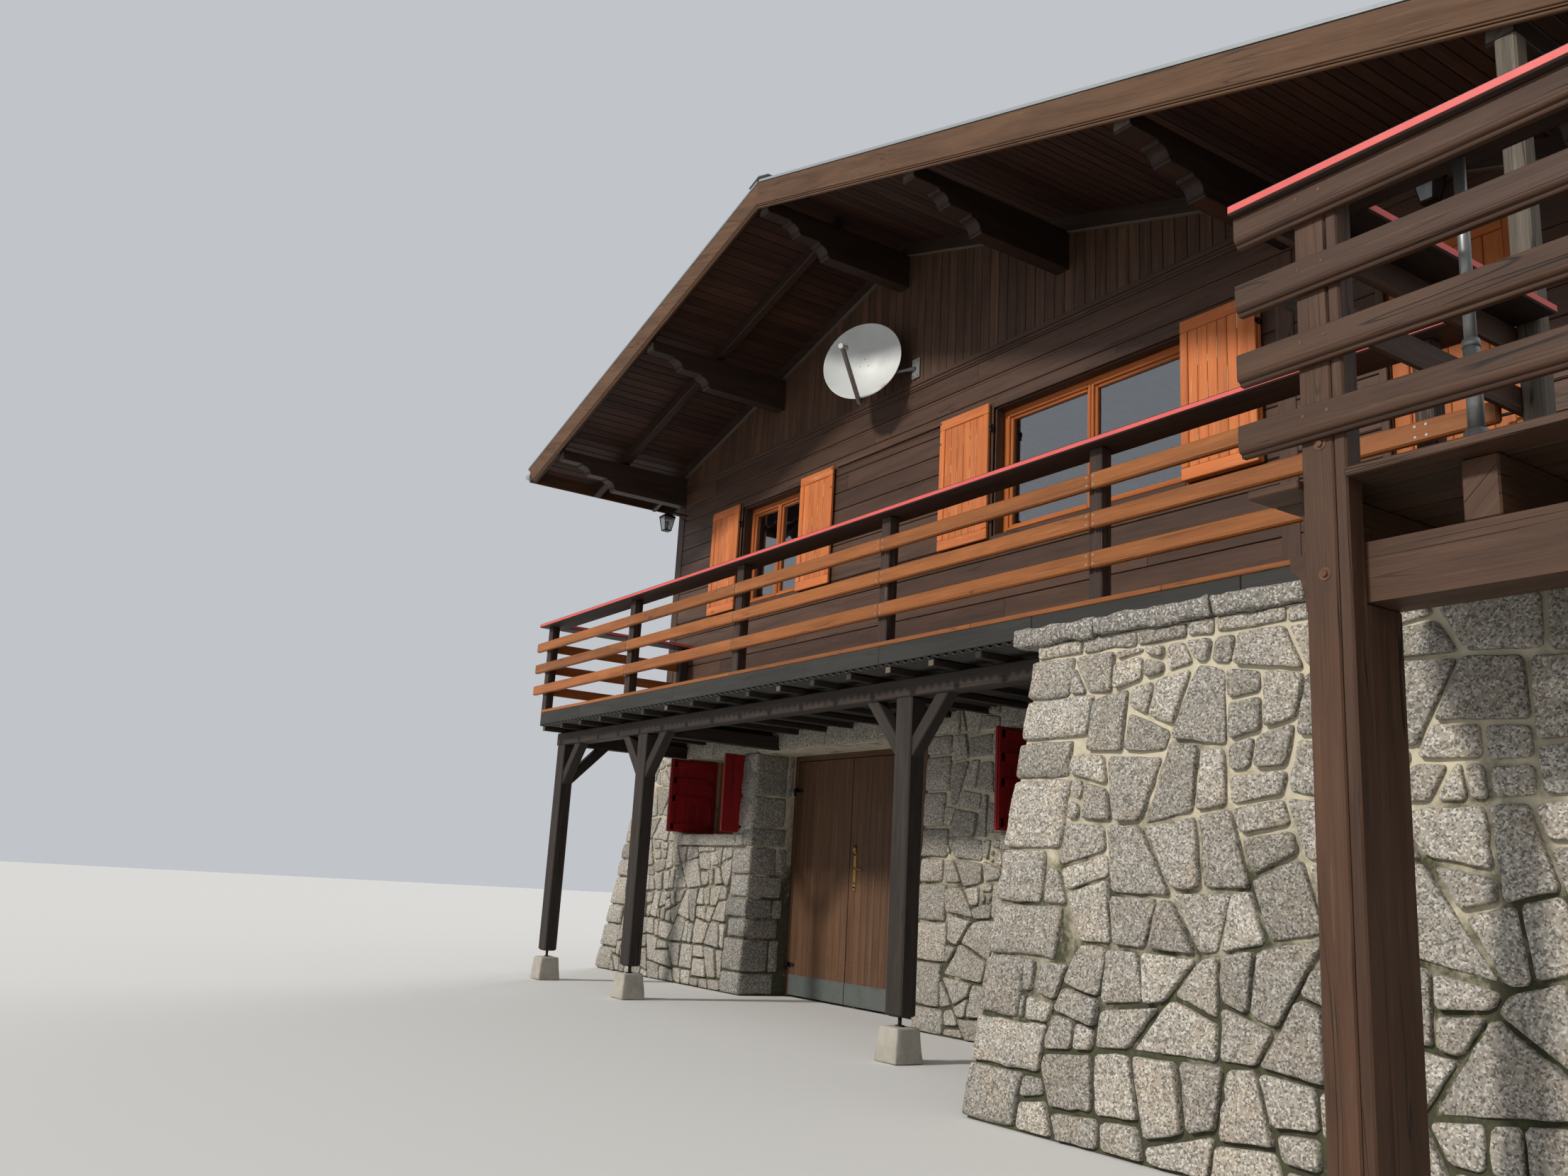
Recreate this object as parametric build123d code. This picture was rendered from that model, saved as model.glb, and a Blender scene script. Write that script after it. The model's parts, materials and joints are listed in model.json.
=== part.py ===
from build123d import *
import math
import os

os.makedirs("parts", exist_ok=True)

# Alpine chalet: battered granite ground floor, timber upper floor, asymmetric gable roof,
# front balcony on hung posts and a timber terrace over a granite wing wall.
# Frame: +X to the right along the front, +Y into the house, +Z up, origin on the ground
# under the middle of the front timber wall. All sizes in millimetres.

# Main body
house_width = 10000
house_depth = 8000
stone_height = 2490
stone_wall = 500
front_batter = 100
side_batter = 100
left_corner_batter = 700
left_corner_step = 240
slab_thickness = 120
upper_floor_thickness = 200
timber_wall = 180
gable_height = 1427
moulding_height = 70
moulding_depth = 25
corner_board = 130
corner_board_depth = 22
cover_board_gap = 157
house_left = -house_width / 2
house_right = house_width / 2

# Roof
ridge_shift = 0.104
ridge_x = -ridge_shift * house_width
ridge_soffit_z = 6676
roof_slope = 0.303
left_overhang = 640
right_overhang = 520
left_eave_x = house_left - left_overhang
right_eave_x = house_right + right_overhang
front_overhang = 1600
rear_overhang = 900
boarding = 21
covering = 55
edge_overhang = 20
rafter_height = 120
rafter_width = 80
rafter_pitch = 780
purlin_share = 0.195
purlin_pitch = purlin_share * house_width
purlin_width = 130
purlin_depth = 455
purlin_setback = 80
step_lengths = (330, 300)
step_rises = (97, 114)
barge_depth = 238
barge_thickness = 30
ridge_cap_half = 160
ridge_cap_thickness = 8
gutter_radius = 62
gutter_wall = 2
gutter_drop = 10

# Garage doorway
door_share = -0.297
door_width = 2500
lintel_height = 290
door_left = door_share * house_width
door_right = door_left + door_width
door_head = stone_height - lintel_height
door_recess = 390
door_frame = 50
door_thickness = 40
left_leaf_run = 936
side_panel_run = 622
leaf_seam_x = door_left + left_leaf_run
side_panel_x = door_right - side_panel_run
leaf_gap = 6
seam_gap = 10
floor_gap = 20
kick_height = 180
kick_thickness = 2
bolt_offset = 89
bolt_x = leaf_seam_x + bolt_offset
bolt_z = 1030
bolt_length = 340
bolt_width = 40
bolt_depth = 14

# Lower windows and their red shutters
low_window_width = 1160
low_window_height = 760
low_window_shares = (-0.434, 0.05)
low_window_lefts = [share * house_width for share in low_window_shares]
low_head_z = door_head
low_sill_z = low_head_z - low_window_height
red_plane = 310
red_thickness = 25
red_offset = 12
red_frame_y = 360
sill_height = 110
sill_projection = 45
sill_overlap = 90
frame_bar = 55
frame_depth = 60
glass_thickness = 6

# Upper windows and their orange shutters
small_share = -0.36
wide_share = 0.018
small_width = 1090
small_leaf = 545
wide_width = 1860
wide_leaf = 600
upper_windows = (
    (small_share * house_width, small_width, small_leaf),
    (wide_share * house_width, wide_width, wide_leaf),
)
upper_window_height = 1050
head_below_moulding = 499
leaf_below_sill = 20
leaf_above_head = 40
moulding_z = ridge_soffit_z - gable_height
upper_head_z = moulding_z - head_below_moulding
upper_sill_z = upper_head_z - upper_window_height
orange_z0 = upper_sill_z - leaf_below_sill
orange_z1 = upper_head_z + leaf_above_head
jamb_to_pin = 8
cover_board_x = wide_share * house_width + wide_width + jamb_to_pin + wide_leaf + cover_board_gap
orange_thickness = 28
orange_standoff = 45
window_recess = 150
casing_width = 48
casing_depth = 24
folded_gap = 8
folded_hinge = 12
door_leaf_setback = 20
balcony_door_share = 0.346
balcony_door_left = balcony_door_share * house_width
balcony_door_width = 760
rear_window_shares = (-0.3705, 0.15)
rear_window_width = 1190
side_window_share = 0.4
side_window_y = side_window_share * house_depth
side_window_run = 1190
side_window_height = 860
side_head_below_roof = 536
side_frame_inset = 60

# Hinges
pin_radius = 6
pin_clearance = 0.3
eye_radius = 12
eye_height = 34
hinge_reach = 20
strap_thickness = 8
strap_reach = 90
gate_hinge_inset = 250
red_hinge_inset = 110
red_strap_reach = 300
red_end_gap = 15
red_ledge = 12
red_ledge_height = 100
red_ledge_low = 90
red_ledge_high = 190
red_ledge_front = 40
red_ledge_back = 70
orange_hinge_inset = 170
orange_arm = 5

# Balcony
deck_above_stone = 30
deck_top = stone_height + deck_above_stone
deck_board = 30
joist_height = 103
joist_width = 70
sheet_rise = 22
sheet_thickness = 2
sheet_pitch = 76.5
batten_height = 40
batten_width = 50
batten_pitch = 420
batten_inset = 95
batten_setback = 10
cross_beam_width = 100
beam_height = 121
beam_thickness = 120
beam_front = -1424
balcony_left_inset = 470
balcony_left = house_left + balcony_left_inset
balcony_right = house_right - corner_board
fascia_front = -1625
fascia_above_deck = 14
edge_board_height = 28
fascia_thickness = 30
post_width = 160
post_depth = 120
first_post_inset = 110
last_post_inset = 390
middle_post_shares = (-0.2676, 0.0955)
post_centres = [
    balcony_left + first_post_inset,
    middle_post_shares[0] * house_width,
    middle_post_shares[1] * house_width,
    balcony_right - last_post_inset,
]
post_bottom = 268
brace_reach = 380
brace_section = 90
pin_post_radius = 12
plinth_height = 205
plinth_width = 220
rail_post_width = 90
rail_post_depth = 80
rail_posts = 6
last_rail_post_inset = 315
rail_post_first = balcony_left - rail_post_width / 2
rail_post_pitch = (balcony_right - last_rail_post_inset - rail_post_first) / (rail_posts - 1)
rail_height = 90
rail_pitch = 217
rail_thickness = 40
rail_count = 3
joint_gap = 2
wall_gap = 5
sheet_end_gap = 20
rail_above_deck = 707
rail_top = deck_top + rail_above_deck
rail_overrun = 260
rail_end = balcony_left - rail_overrun
cap_above_deck = 856
cap_bottom = deck_top + cap_above_deck
cap_overhang = 70
cap_thickness = 34
cap_width = 230
cap_front = -1660

# Terrace
wing_run_left = 2120
wing_run_right = 2500
wing_left = house_right - wing_run_left
wing_left_batter = 330
wing_right = house_right + wing_run_right
wing_front = -2120
wing_thickness = 600
coping_below_deck = 237
coping_top = deck_top - coping_below_deck
coping_height = 92
coping_overhang = 50
coping_end = 150
coping_stop = 20
terrace_left_inset = 220
terrace_left = house_right - terrace_left_inset
terrace_right = wing_right
terrace_beam_height = 188
terrace_beam_thickness = 180
beam_left_inset = 140
beam_right_inset = 40
beam_end_slant = 50
terrace_beam_left = house_right - beam_left_inset
terrace_beam_front = -2950
terrace_beam_drop = 590
terrace_beam_bottom = deck_top - terrace_beam_drop
terrace_joist_height = 188
terrace_joist_width = 110
terrace_joist_pitch = 520
joist_inset = 35
terrace_joist_first = house_right - joist_inset
terrace_deck_board = 30
deck_clearance = 30
terrace_deck_front = -3050
terrace_rear = -300
big_post_width = 156
big_post_depth = 80
big_post_inset = 30
big_post_left = house_right - big_post_inset
big_post_bay = 2250
big_rail_front = -3070
big_rail_height = 110
big_rail_pitch = 252
big_rail_count = 4
big_rail_above_deck = 983
big_rail_thickness = 40
big_rail_left_inset = 234
big_rail_left = house_right - big_rail_left_inset
big_rail_overrun = 60
big_cap_width = 320
big_cap_thickness = 38
big_cap_front = -3100
roof_post_section = 90
roof_post_offset = 30
roof_post_y = -1500

# Small fixtures
dish_radius = 370
dish_turn = 30
dish_lift = 6
dish_arm_reach = 420
arm_radius = 18
arm_bite = 2
arm_hang = 30
arm_back = 35
arm_rise = 80
boss_radius = 55
boss_length = 80
boss_grip = 60
receiver_radius = 30
receiver_reach = 25
receiver_length = 95
receiver_low = 95
receiver_high = 65
mast_rise = 40
dish_depth = 60
dish_sheet = 3
dish_share = -0.12
dish_below_ridge = 1166
dish_front = -330
dish_centre = (dish_share * house_width, dish_front, ridge_soffit_z - dish_below_ridge)
foot_share = -0.082
foot_below_ridge = 1276
dish_foot = (foot_share * house_width, ridge_soffit_z - foot_below_ridge)
foot_plate = 30
foot_plate_half_width = 50
foot_plate_half_height = 90
tube_radius = 18
tube_offset = 446
tube_x = house_right + tube_offset
tube_y = -2876
tube_gap = 20
socket_radius = 25
socket_height = 355
socket_flange_radius = 45
socket_flange = 8
socket_collar_radius = 36
socket_collar = 70
lantern_size = 140
lantern_height = 210
corner_lantern_inset = 180
corner_lantern_y = -260
corner_lantern_drop = 831
door_lantern_y = -160
door_lantern_rise = 100
lantern_plate = 12


def block(x0, x1, y0, y1, z0, z1):
    """A box between two corners."""
    return Pos((x0 + x1) / 2, (y0 + y1) / 2, (z0 + z1) / 2) * Box(x1 - x0, y1 - y0, z1 - z0)


def along_y(outline, y0, y1):
    """A prism with its outline of (x, z) points, from y0 to y1."""
    face = make_face(Polyline(*[(x, y0, z) for x, z in outline], close=True))
    return extrude(face, amount=y1 - y0, dir=(0, 1, 0))


def along_x(outline, x0, x1):
    """A prism with its outline of (y, z) points, from x0 to x1."""
    face = make_face(Polyline(*[(x0, y, z) for y, z in outline], close=True))
    return extrude(face, amount=x1 - x0, dir=(1, 0, 0))


def along_z(outline, z0, z1):
    """A prism with its outline of (x, y) points, from z0 to z1."""
    face = make_face(Polyline(*[(x, y, z0) for x, y in outline], close=True))
    return extrude(face, amount=z1 - z0, dir=(0, 0, 1))


def rod(x, y, z0, z1, radius):
    """An upright cylinder."""
    return Pos(x, y, (z0 + z1) / 2) * Cylinder(radius, z1 - z0)


def bar(start, end, radius):
    """A round bar between two points."""
    run = Vector(*end) - Vector(*start)
    along = Plane(origin=start, z_dir=run)
    return along.location * Pos(0, 0, run.length / 2) * Cylinder(radius, run.length)


def save(name, *solids):
    """Write the solids of one node."""
    found = []
    for item in solids:
        found.extend(item.solids())
    export_step(Compound(children=found), f"parts/{name}.step")


def soffit(x):
    """Height of the underside of the roof boarding."""
    return ridge_soffit_z - roof_slope * abs(x - ridge_x)


roof_front = -front_overhang
roof_rear = house_depth + rear_overhang
inner_left = house_left - left_corner_step + stone_wall
inner_right = house_right - stone_wall


# Granite ground floor: battered outside, plumb inside
def stone_envelope():
    """The battered front and rear faces, as one solid to cut the side walls with."""
    outline = [
        (-front_batter, 0),
        (house_depth + front_batter, 0),
        (house_depth, stone_height),
        (0, stone_height),
    ]
    reach = house_width
    return along_x(outline, -reach, reach)


def low_openings():
    holes = []
    for left in low_window_lefts:
        holes.append(
            block(left, left + low_window_width, -stone_wall, 2 * stone_wall, low_sill_z, low_head_z)
        )
    return holes


front_outline = [(-front_batter, 0), (stone_wall, 0), (stone_wall, stone_height), (0, stone_height)]
wall_left = along_x(front_outline, inner_left, door_left)
wall_right = along_x(front_outline, door_right, inner_right)
for hole in low_openings():
    wall_left -= hole
    wall_right -= hole
lintel_face = -front_batter * (1 - door_head / stone_height)
lintel = along_x(
    [(lintel_face, door_head), (stone_wall, door_head), (stone_wall, stone_height), (0, stone_height)],
    door_left,
    door_right,
)
side_left = along_y(
    [
        (house_left - left_corner_step - left_corner_batter, 0),
        (inner_left, 0),
        (inner_left, stone_height),
        (house_left - left_corner_step, stone_height),
    ],
    -stone_wall,
    house_depth + stone_wall,
)
side_right = along_y(
    [
        (inner_right, 0),
        (house_right + side_batter, 0),
        (house_right, stone_height),
        (inner_right, stone_height),
    ],
    -stone_wall,
    house_depth + stone_wall,
)
rear_outline = [
    (house_depth - stone_wall, 0),
    (house_depth + front_batter, 0),
    (house_depth, stone_height),
    (house_depth - stone_wall, stone_height),
]
save("front_stone_wall_left", wall_left)
save("front_stone_wall_right", wall_right)
save("door_lintel", lintel)
save("side_stone_walls", side_left & stone_envelope(), side_right & stone_envelope())
save("rear_stone_wall", along_x(rear_outline, inner_left, inner_right))
save(
    "ground_slab",
    block(inner_left, inner_right, stone_wall, house_depth - stone_wall, 0, slab_thickness),
)
save(
    "upper_floor",
    block(
        inner_left,
        inner_right,
        stone_wall,
        house_depth - stone_wall,
        stone_height - upper_floor_thickness,
        stone_height,
    ),
)


def stone_face(z):
    """Y of the battered front face at a height."""
    return -front_batter * (1 - z / stone_height)


def sills():
    made = []
    for left in low_window_lefts:
        face = stone_face(low_sill_z - sill_height)
        made.append(
            block(
                left - sill_overlap,
                left + low_window_width + sill_overlap,
                face - sill_projection,
                face,
                low_sill_z - sill_height,
                low_sill_z,
            )
        )
    return made


save("window_sills", *sills())


# Lower windows: a wood frame with a centre bar, glass behind
def window_frame(left, width, y, sill, head, bars):
    frame = block(left, left + width, y, y + frame_depth, sill, head)
    pane = (width - frame_bar * (bars + 1)) / bars
    for k in range(bars):
        x = left + frame_bar + k * (pane + frame_bar)
        frame -= block(x, x + pane, y - 1, y + frame_depth + 1, sill + frame_bar, head - frame_bar)
    return frame


def window_glass(left, width, y, sill, head, bars):
    pane = (width - frame_bar * (bars + 1)) / bars
    middle = y + frame_depth / 2
    sheets = []
    for k in range(bars):
        x = left + frame_bar + k * (pane + frame_bar)
        sheets.append(
            block(
                x,
                x + pane,
                middle - glass_thickness / 2,
                middle + glass_thickness / 2,
                sill + frame_bar,
                head - frame_bar,
            )
        )
    return sheets


low_frames = []
low_sheets = []
for left in low_window_lefts:
    low_frames.append(window_frame(left, low_window_width, red_frame_y, low_sill_z, low_head_z, 2))
    low_sheets.extend(
        window_glass(left, low_window_width, red_frame_y, low_sill_z, low_head_z, 2)
    )


# Hinged leaves: a board that turns on two pins, each in an eye of the leaf
def hinge_heights(z0, z1, inset):
    return (z0 + inset, z1 - inset - eye_height)


def eyes(x, y, heights, toward, edge, leaf_face, reach):
    """Eyes about the pins with straps on the face of a leaf that lies along X."""
    made = None
    for z in heights:
        top = z + eye_height
        ring = rod(x, y, z, top, eye_radius)
        crank = edge + toward * 3 * eye_radius
        far = edge + toward * reach
        arm = block(min(x, crank), max(x, crank), y - pin_radius, y + pin_radius, z, top)
        seat = block(min(edge, crank), max(edge, crank), y - pin_radius, leaf_face, z, top)
        strap = block(min(edge, far), max(edge, far), leaf_face - strap_thickness, leaf_face, z, top)
        piece = ring + arm + seat + strap
        piece -= rod(x, y, z - 1, top + 1, pin_radius + pin_clearance)
        made = piece if made is None else made + piece
    return made


def pins(x, y, heights, root_x0, root_x1, root_y0, root_y1):
    """Pins with the arms that hold them below each eye."""
    made = []
    for z in heights:
        arm = block(root_x0, root_x1, root_y0, root_y1, z - eye_height, z - pin_clearance)
        made.append(arm + rod(x, y, z - eye_height, z + eye_height, pin_radius))
    return made


# Garage doorway: wood frame, two hinged leaves and a fixed side panel
leaf_back = door_recess + door_thickness
frame_inner_left = door_left + door_frame
frame_inner_right = door_right - door_frame
frame_head = door_head - door_frame
frame = block(door_left, frame_inner_left, door_recess, leaf_back, 0, door_head)
frame += block(frame_inner_right, door_right, door_recess, leaf_back, 0, door_head)
frame += block(door_left, door_right, door_recess, leaf_back, frame_head, door_head)
leaf_z0 = floor_gap
leaf_z1 = frame_head - leaf_gap
garage_pin_y = door_recess - hinge_reach
left_pin_x = frame_inner_left - hinge_reach
middle_pin_x = side_panel_x


def board_leaf(x0, x1):
    return block(x0, x1, door_recess, leaf_back, leaf_z0, leaf_z1)


def kick_plate(x0, x1):
    return block(x0, x1, door_recess - kick_thickness, door_recess, leaf_z0, leaf_z0 + kick_height)


garage_heights = hinge_heights(leaf_z0, leaf_z1, gate_hinge_inset)
leaf_a0 = frame_inner_left + leaf_gap
leaf_a1 = leaf_seam_x - seam_gap / 2
leaf_b0 = leaf_seam_x + seam_gap / 2
leaf_b1 = side_panel_x - leaf_gap / 2
panel_0 = side_panel_x + leaf_gap / 2
leaf_a = board_leaf(leaf_a0, leaf_a1)
leaf_a += eyes(left_pin_x, garage_pin_y, garage_heights, 1, leaf_a0, door_recess, strap_reach)
leaf_b = board_leaf(leaf_b0, leaf_b1)
leaf_b += eyes(middle_pin_x, garage_pin_y, garage_heights, -1, leaf_b1, door_recess, strap_reach)
leaf_a += kick_plate(leaf_a0, leaf_a1)
leaf_b += kick_plate(leaf_b0, leaf_b1)
leaf_b += block(
    bolt_x - bolt_width / 2,
    bolt_x + bolt_width / 2,
    door_recess - bolt_depth,
    door_recess,
    bolt_z,
    bolt_z + bolt_length,
)
save("garage_leaf_left", leaf_a)
save("garage_leaf_middle", leaf_b)
frame += block(panel_0, frame_inner_right, door_recess, leaf_back, 0, frame_head)
frame += kick_plate(panel_0, frame_inner_right)
save("garage_frame", frame)
garage_pins = pins(
    left_pin_x,
    garage_pin_y,
    garage_heights,
    left_pin_x - pin_radius,
    left_pin_x + pin_radius,
    garage_pin_y,
    door_recess,
)
garage_pins += pins(
    middle_pin_x,
    garage_pin_y,
    garage_heights,
    middle_pin_x + leaf_gap / 2,
    middle_pin_x + leaf_gap / 2 + 2 * pin_radius,
    garage_pin_y - pin_radius,
    door_recess,
)


# Red shutters, shown open at right angles to the wall
red_z0 = low_sill_z + red_end_gap
red_z1 = low_head_z - red_end_gap
red_heights = hinge_heights(red_z0, red_z1, red_hinge_inset)
red_pin_y = red_plane - red_offset
red_width = low_window_width / 2 - hinge_reach - leaf_gap
red_pins = []


def red_leaf(pin_x, side):
    """A ledged leaf open towards the front; side is 1 for a left jamb, -1 for a right one."""
    near = pin_x + side * red_offset
    far = near + side * red_thickness
    front = red_pin_y - red_width
    leaf = block(min(near, far), max(near, far), front, red_pin_y - leaf_gap, red_z0, red_z1)
    for z in red_heights:
        ring = rod(pin_x, red_pin_y, z, z + eye_height, eye_radius)
        strap = block(
            min(pin_x, near), max(pin_x, near), red_pin_y - red_strap_reach, red_pin_y, z, z + eye_height
        )
        leaf += ring + strap
        leaf -= rod(pin_x, red_pin_y, z - 1, z + eye_height + 1, pin_radius + pin_clearance)
    ledge = far + side * red_ledge
    for z in (red_z0 + red_ledge_low, red_z1 - red_ledge_high):
        leaf += block(
            min(far, ledge),
            max(far, ledge),
            front + red_ledge_front,
            red_pin_y - red_ledge_back,
            z,
            z + red_ledge_height,
        )
    return leaf


for number, left in enumerate(low_window_lefts, start=1):
    right = left + low_window_width
    left_pin = left + hinge_reach
    right_pin = right - hinge_reach
    save(f"red_shutter_{number}_left", red_leaf(left_pin, 1))
    save(f"red_shutter_{number}_right", red_leaf(right_pin, -1))
    red_pins += pins(
        left_pin, red_pin_y, red_heights, left, left_pin, red_pin_y - pin_radius, red_pin_y + pin_radius
    )
    red_pins += pins(
        right_pin,
        red_pin_y,
        red_heights,
        right_pin,
        right,
        red_pin_y - pin_radius,
        red_pin_y + pin_radius,
    )


# Timber upper floor
purlin_xs = [ridge_x + k * purlin_pitch for k in (-2, -1, 0, 1, 2)]
purlin_xs.append(house_right - purlin_width / 2)
purlin_xs[0] = house_left + purlin_width / 2


def purlin_bottom(x):
    return soffit(x) - purlin_depth


def purlin_top(x):
    return soffit(x) - rafter_height - roof_slope * purlin_width / 2


def purlin_holes(y0, y1):
    holes = []
    for x in purlin_xs:
        half = purlin_width / 2
        holes.append(block(x - half, x + half, y0, y1, purlin_bottom(x), purlin_top(x)))
    return holes


def wall_outline():
    """Front wall below the moulding, cut by the roof at the right."""
    meet = ridge_x + (ridge_soffit_z - moulding_z) / roof_slope
    return [
        (house_left, stone_height),
        (house_right, stone_height),
        (house_right, soffit(house_right)),
        (meet, moulding_z),
        (house_left, moulding_z),
    ]


def gable_outline():
    meet = ridge_x + (ridge_soffit_z - moulding_z) / roof_slope
    return [
        (house_left, moulding_z),
        (meet, moulding_z),
        (ridge_x, ridge_soffit_z),
        (house_left, soffit(house_left)),
    ]


front_timber = along_y(wall_outline(), 0, timber_wall)
front_gable = along_y(gable_outline(), 0, timber_wall)
for left, width, leaf in upper_windows:
    front_timber -= block(left, left + width, -1, timber_wall + 1, upper_sill_z, upper_head_z)
front_timber -= block(
    balcony_door_left,
    balcony_door_left + balcony_door_width,
    -1,
    timber_wall + 1,
    deck_top,
    upper_head_z,
)
rear_timber = along_y(wall_outline(), house_depth - timber_wall, house_depth)
rear_gable = along_y(gable_outline(), house_depth - timber_wall, house_depth)
rear_windows = [(share * house_width, rear_window_width) for share in rear_window_shares]
side_window_z1 = soffit(house_right) - side_head_below_roof
side_window_z0 = side_window_z1 - side_window_height
for left, width in rear_windows:
    rear_timber -= block(
        left, left + width, house_depth - timber_wall - 1, house_depth + 1, upper_sill_z, upper_head_z
    )
for hole in purlin_holes(-1, timber_wall + 1):
    front_timber -= hole
    front_gable -= hole
for hole in purlin_holes(house_depth - timber_wall - 1, house_depth + 1):
    rear_timber -= hole
    rear_gable -= hole
save("front_timber_wall", front_timber)
save("gables", front_gable, rear_gable)
save("rear_timber_wall", rear_timber)


def slope_slab(x_eave, y0, y1, under, thick):
    """A slab that follows one roof slope; under is its height above the soffit line."""
    return along_y(
        [
            (x_eave, soffit(x_eave) + under),
            (ridge_x, ridge_soffit_z + under),
            (ridge_x, ridge_soffit_z + under + thick),
            (x_eave, soffit(x_eave) + under + thick),
        ],
        y0,
        y1,
    )


def rafter_rows():
    """Places along Y of the rafters, clear of the two gable walls."""
    rows = [roof_front + barge_thickness]
    rows.append(roof_front / 2)
    inside = timber_wall + 40
    count = int((house_depth - 2 * inside) // rafter_pitch)
    step = (house_depth - 2 * inside - rafter_width) / count
    rows += [inside + k * step for k in range(count + 1)]
    rows.append(roof_rear - barge_thickness - rafter_width)
    return rows


rafters = []
for y in rafter_rows():
    for x_eave in (left_eave_x, right_eave_x):
        rafters.append(slope_slab(x_eave, y, y + rafter_width, -rafter_height, rafter_height))
save("rafters", *rafters)


def side_timber(outer, inner):
    """A side wall up to the roof boarding, let in around its purlin and the rafters."""
    wall = along_y(
        [(outer, stone_height), (inner, stone_height), (inner, soffit(inner)), (outer, soffit(outer))],
        timber_wall,
        house_depth - timber_wall,
    )
    wall -= block(
        min(outer, inner) - 1,
        max(outer, inner) + 1,
        side_window_y,
        side_window_y + side_window_run,
        side_window_z0,
        side_window_z1,
    )
    for hole in purlin_holes(0, house_depth):
        wall -= hole
    for rafter in rafters:
        wall -= rafter
    return wall


save(
    "side_timber_walls",
    side_timber(house_left, house_left + timber_wall),
    side_timber(house_right, house_right - timber_wall),
)
meet_x = ridge_x + (ridge_soffit_z - moulding_z) / roof_slope
moulding = block(
    house_left,
    meet_x - moulding_height / roof_slope,
    -moulding_depth,
    0,
    moulding_z - moulding_height / 2,
    moulding_z + moulding_height / 2,
)
for hole in purlin_holes(-timber_wall, timber_wall):
    moulding -= hole


def corner_boards():
    made = []
    for y0 in (-corner_board_depth, house_depth):
        for x0, purlin_x in (
            (house_left, purlin_xs[0]),
            (house_right - corner_board, purlin_xs[-1]),
        ):
            low = deck_top if y0 < 0 and x0 > 0 else stone_height
            high = purlin_bottom(purlin_x)
            made.append(block(x0, x0 + corner_board, y0, y0 + corner_board_depth, low, high))
    made.append(
        block(
            cover_board_x - corner_board / 2,
            cover_board_x + corner_board / 2,
            -corner_board_depth,
            0,
            deck_top,
            purlin_bottom(cover_board_x + corner_board),
        )
    )
    return made


save("wall_trim", moulding, *corner_boards())

upper_frames = []
upper_sheets = []
for left, width, leaf in upper_windows:
    upper_frames.append(window_frame(left, width, window_recess - frame_depth, upper_sill_z, upper_head_z, 2))
    upper_sheets.extend(
        window_glass(left, width, window_recess - frame_depth, upper_sill_z, upper_head_z, 2)
    )
for left, width in rear_windows:
    y = house_depth - window_recess
    upper_frames.append(window_frame(left, width, y, upper_sill_z, upper_head_z, 2))
    upper_sheets.extend(window_glass(left, width, y, upper_sill_z, upper_head_z, 2))
for x in (house_left + side_frame_inset, house_right - side_frame_inset - frame_depth):
    y0 = side_window_y
    run = side_window_run
    z0 = side_window_z0
    z1 = side_window_z1
    frame_side = block(x, x + frame_depth, y0, y0 + run, z0, z1)
    inner = block(
        x - 1, x + frame_depth + 1, y0 + frame_bar, y0 + run - frame_bar, z0 + frame_bar, z1 - frame_bar
    )
    upper_frames.append(frame_side - inner)
    upper_sheets.append(
        block(
            x + frame_depth / 2 - glass_thickness / 2,
            x + frame_depth / 2 + glass_thickness / 2,
            y0 + frame_bar,
            y0 + run - frame_bar,
            z0 + frame_bar,
            z1 - frame_bar,
        )
    )
save("window_frames", *low_frames, *upper_frames)
save("window_glass", *low_sheets, *upper_sheets)
save(
    "balcony_door",
    block(
        balcony_door_left,
        balcony_door_left + balcony_door_width,
        door_leaf_setback,
        door_leaf_setback + orange_thickness * 2,
        deck_top,
        upper_head_z,
    ),
)

# Orange shutters, shown folded back against the wall
orange_heights = hinge_heights(orange_z0, orange_z1, orange_hinge_inset)
orange_pins = []


def orange_leaf(pin_x, side, width):
    """A leaf along the wall; side is -1 to the left of the window and 1 to the right."""
    near = pin_x + side * (eye_radius + 2)
    far = pin_x + side * width
    half = orange_thickness / 2
    leaf = block(
        min(near, far),
        max(near, far),
        -orange_standoff - half,
        -orange_standoff + half,
        orange_z0,
        orange_z1,
    )
    for z in orange_heights:
        ring = rod(pin_x, -orange_standoff, z, z + eye_height, eye_radius)
        arm = block(
            min(pin_x, near),
            max(pin_x, near),
            -orange_standoff - orange_arm,
            -orange_standoff + orange_arm,
            z,
            z + eye_height,
        )
        leaf += ring + arm
        leaf -= rod(pin_x, -orange_standoff, z - 1, z + eye_height + 1, pin_radius + pin_clearance)
    return leaf


for name, (left, width, leaf) in zip(("small", "wide"), upper_windows):
    for label, x, side in (("left", left - jamb_to_pin, -1), ("right", left + width + jamb_to_pin, 1)):
        save(f"orange_shutter_{name}_{label}", orange_leaf(x, side, leaf))
        orange_pins += pins(
            x, -orange_standoff, orange_heights, x - pin_radius, x + pin_radius, -orange_standoff, 0
        )
save("hinge_pins", *garage_pins, *red_pins, *orange_pins)

# Second leaf of the wide window's right pair, folded over the first and hinged at its far edge
fold_x0 = upper_windows[1][0] + wide_width + jamb_to_pin + eye_radius + 2
fold_x1 = upper_windows[1][0] + wide_width + jamb_to_pin + wide_leaf
fold_back = -orange_standoff - orange_thickness / 2 - folded_gap
folded = block(fold_x0, fold_x1, fold_back - orange_thickness, fold_back, orange_z0, orange_z1)
for z in orange_heights:
    folded += block(
        fold_x1,
        fold_x1 + folded_hinge,
        fold_back - orange_thickness,
        -orange_standoff + orange_thickness / 2,
        z,
        z + eye_height,
    )
save("orange_shutter_wide_folded", folded)


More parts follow.
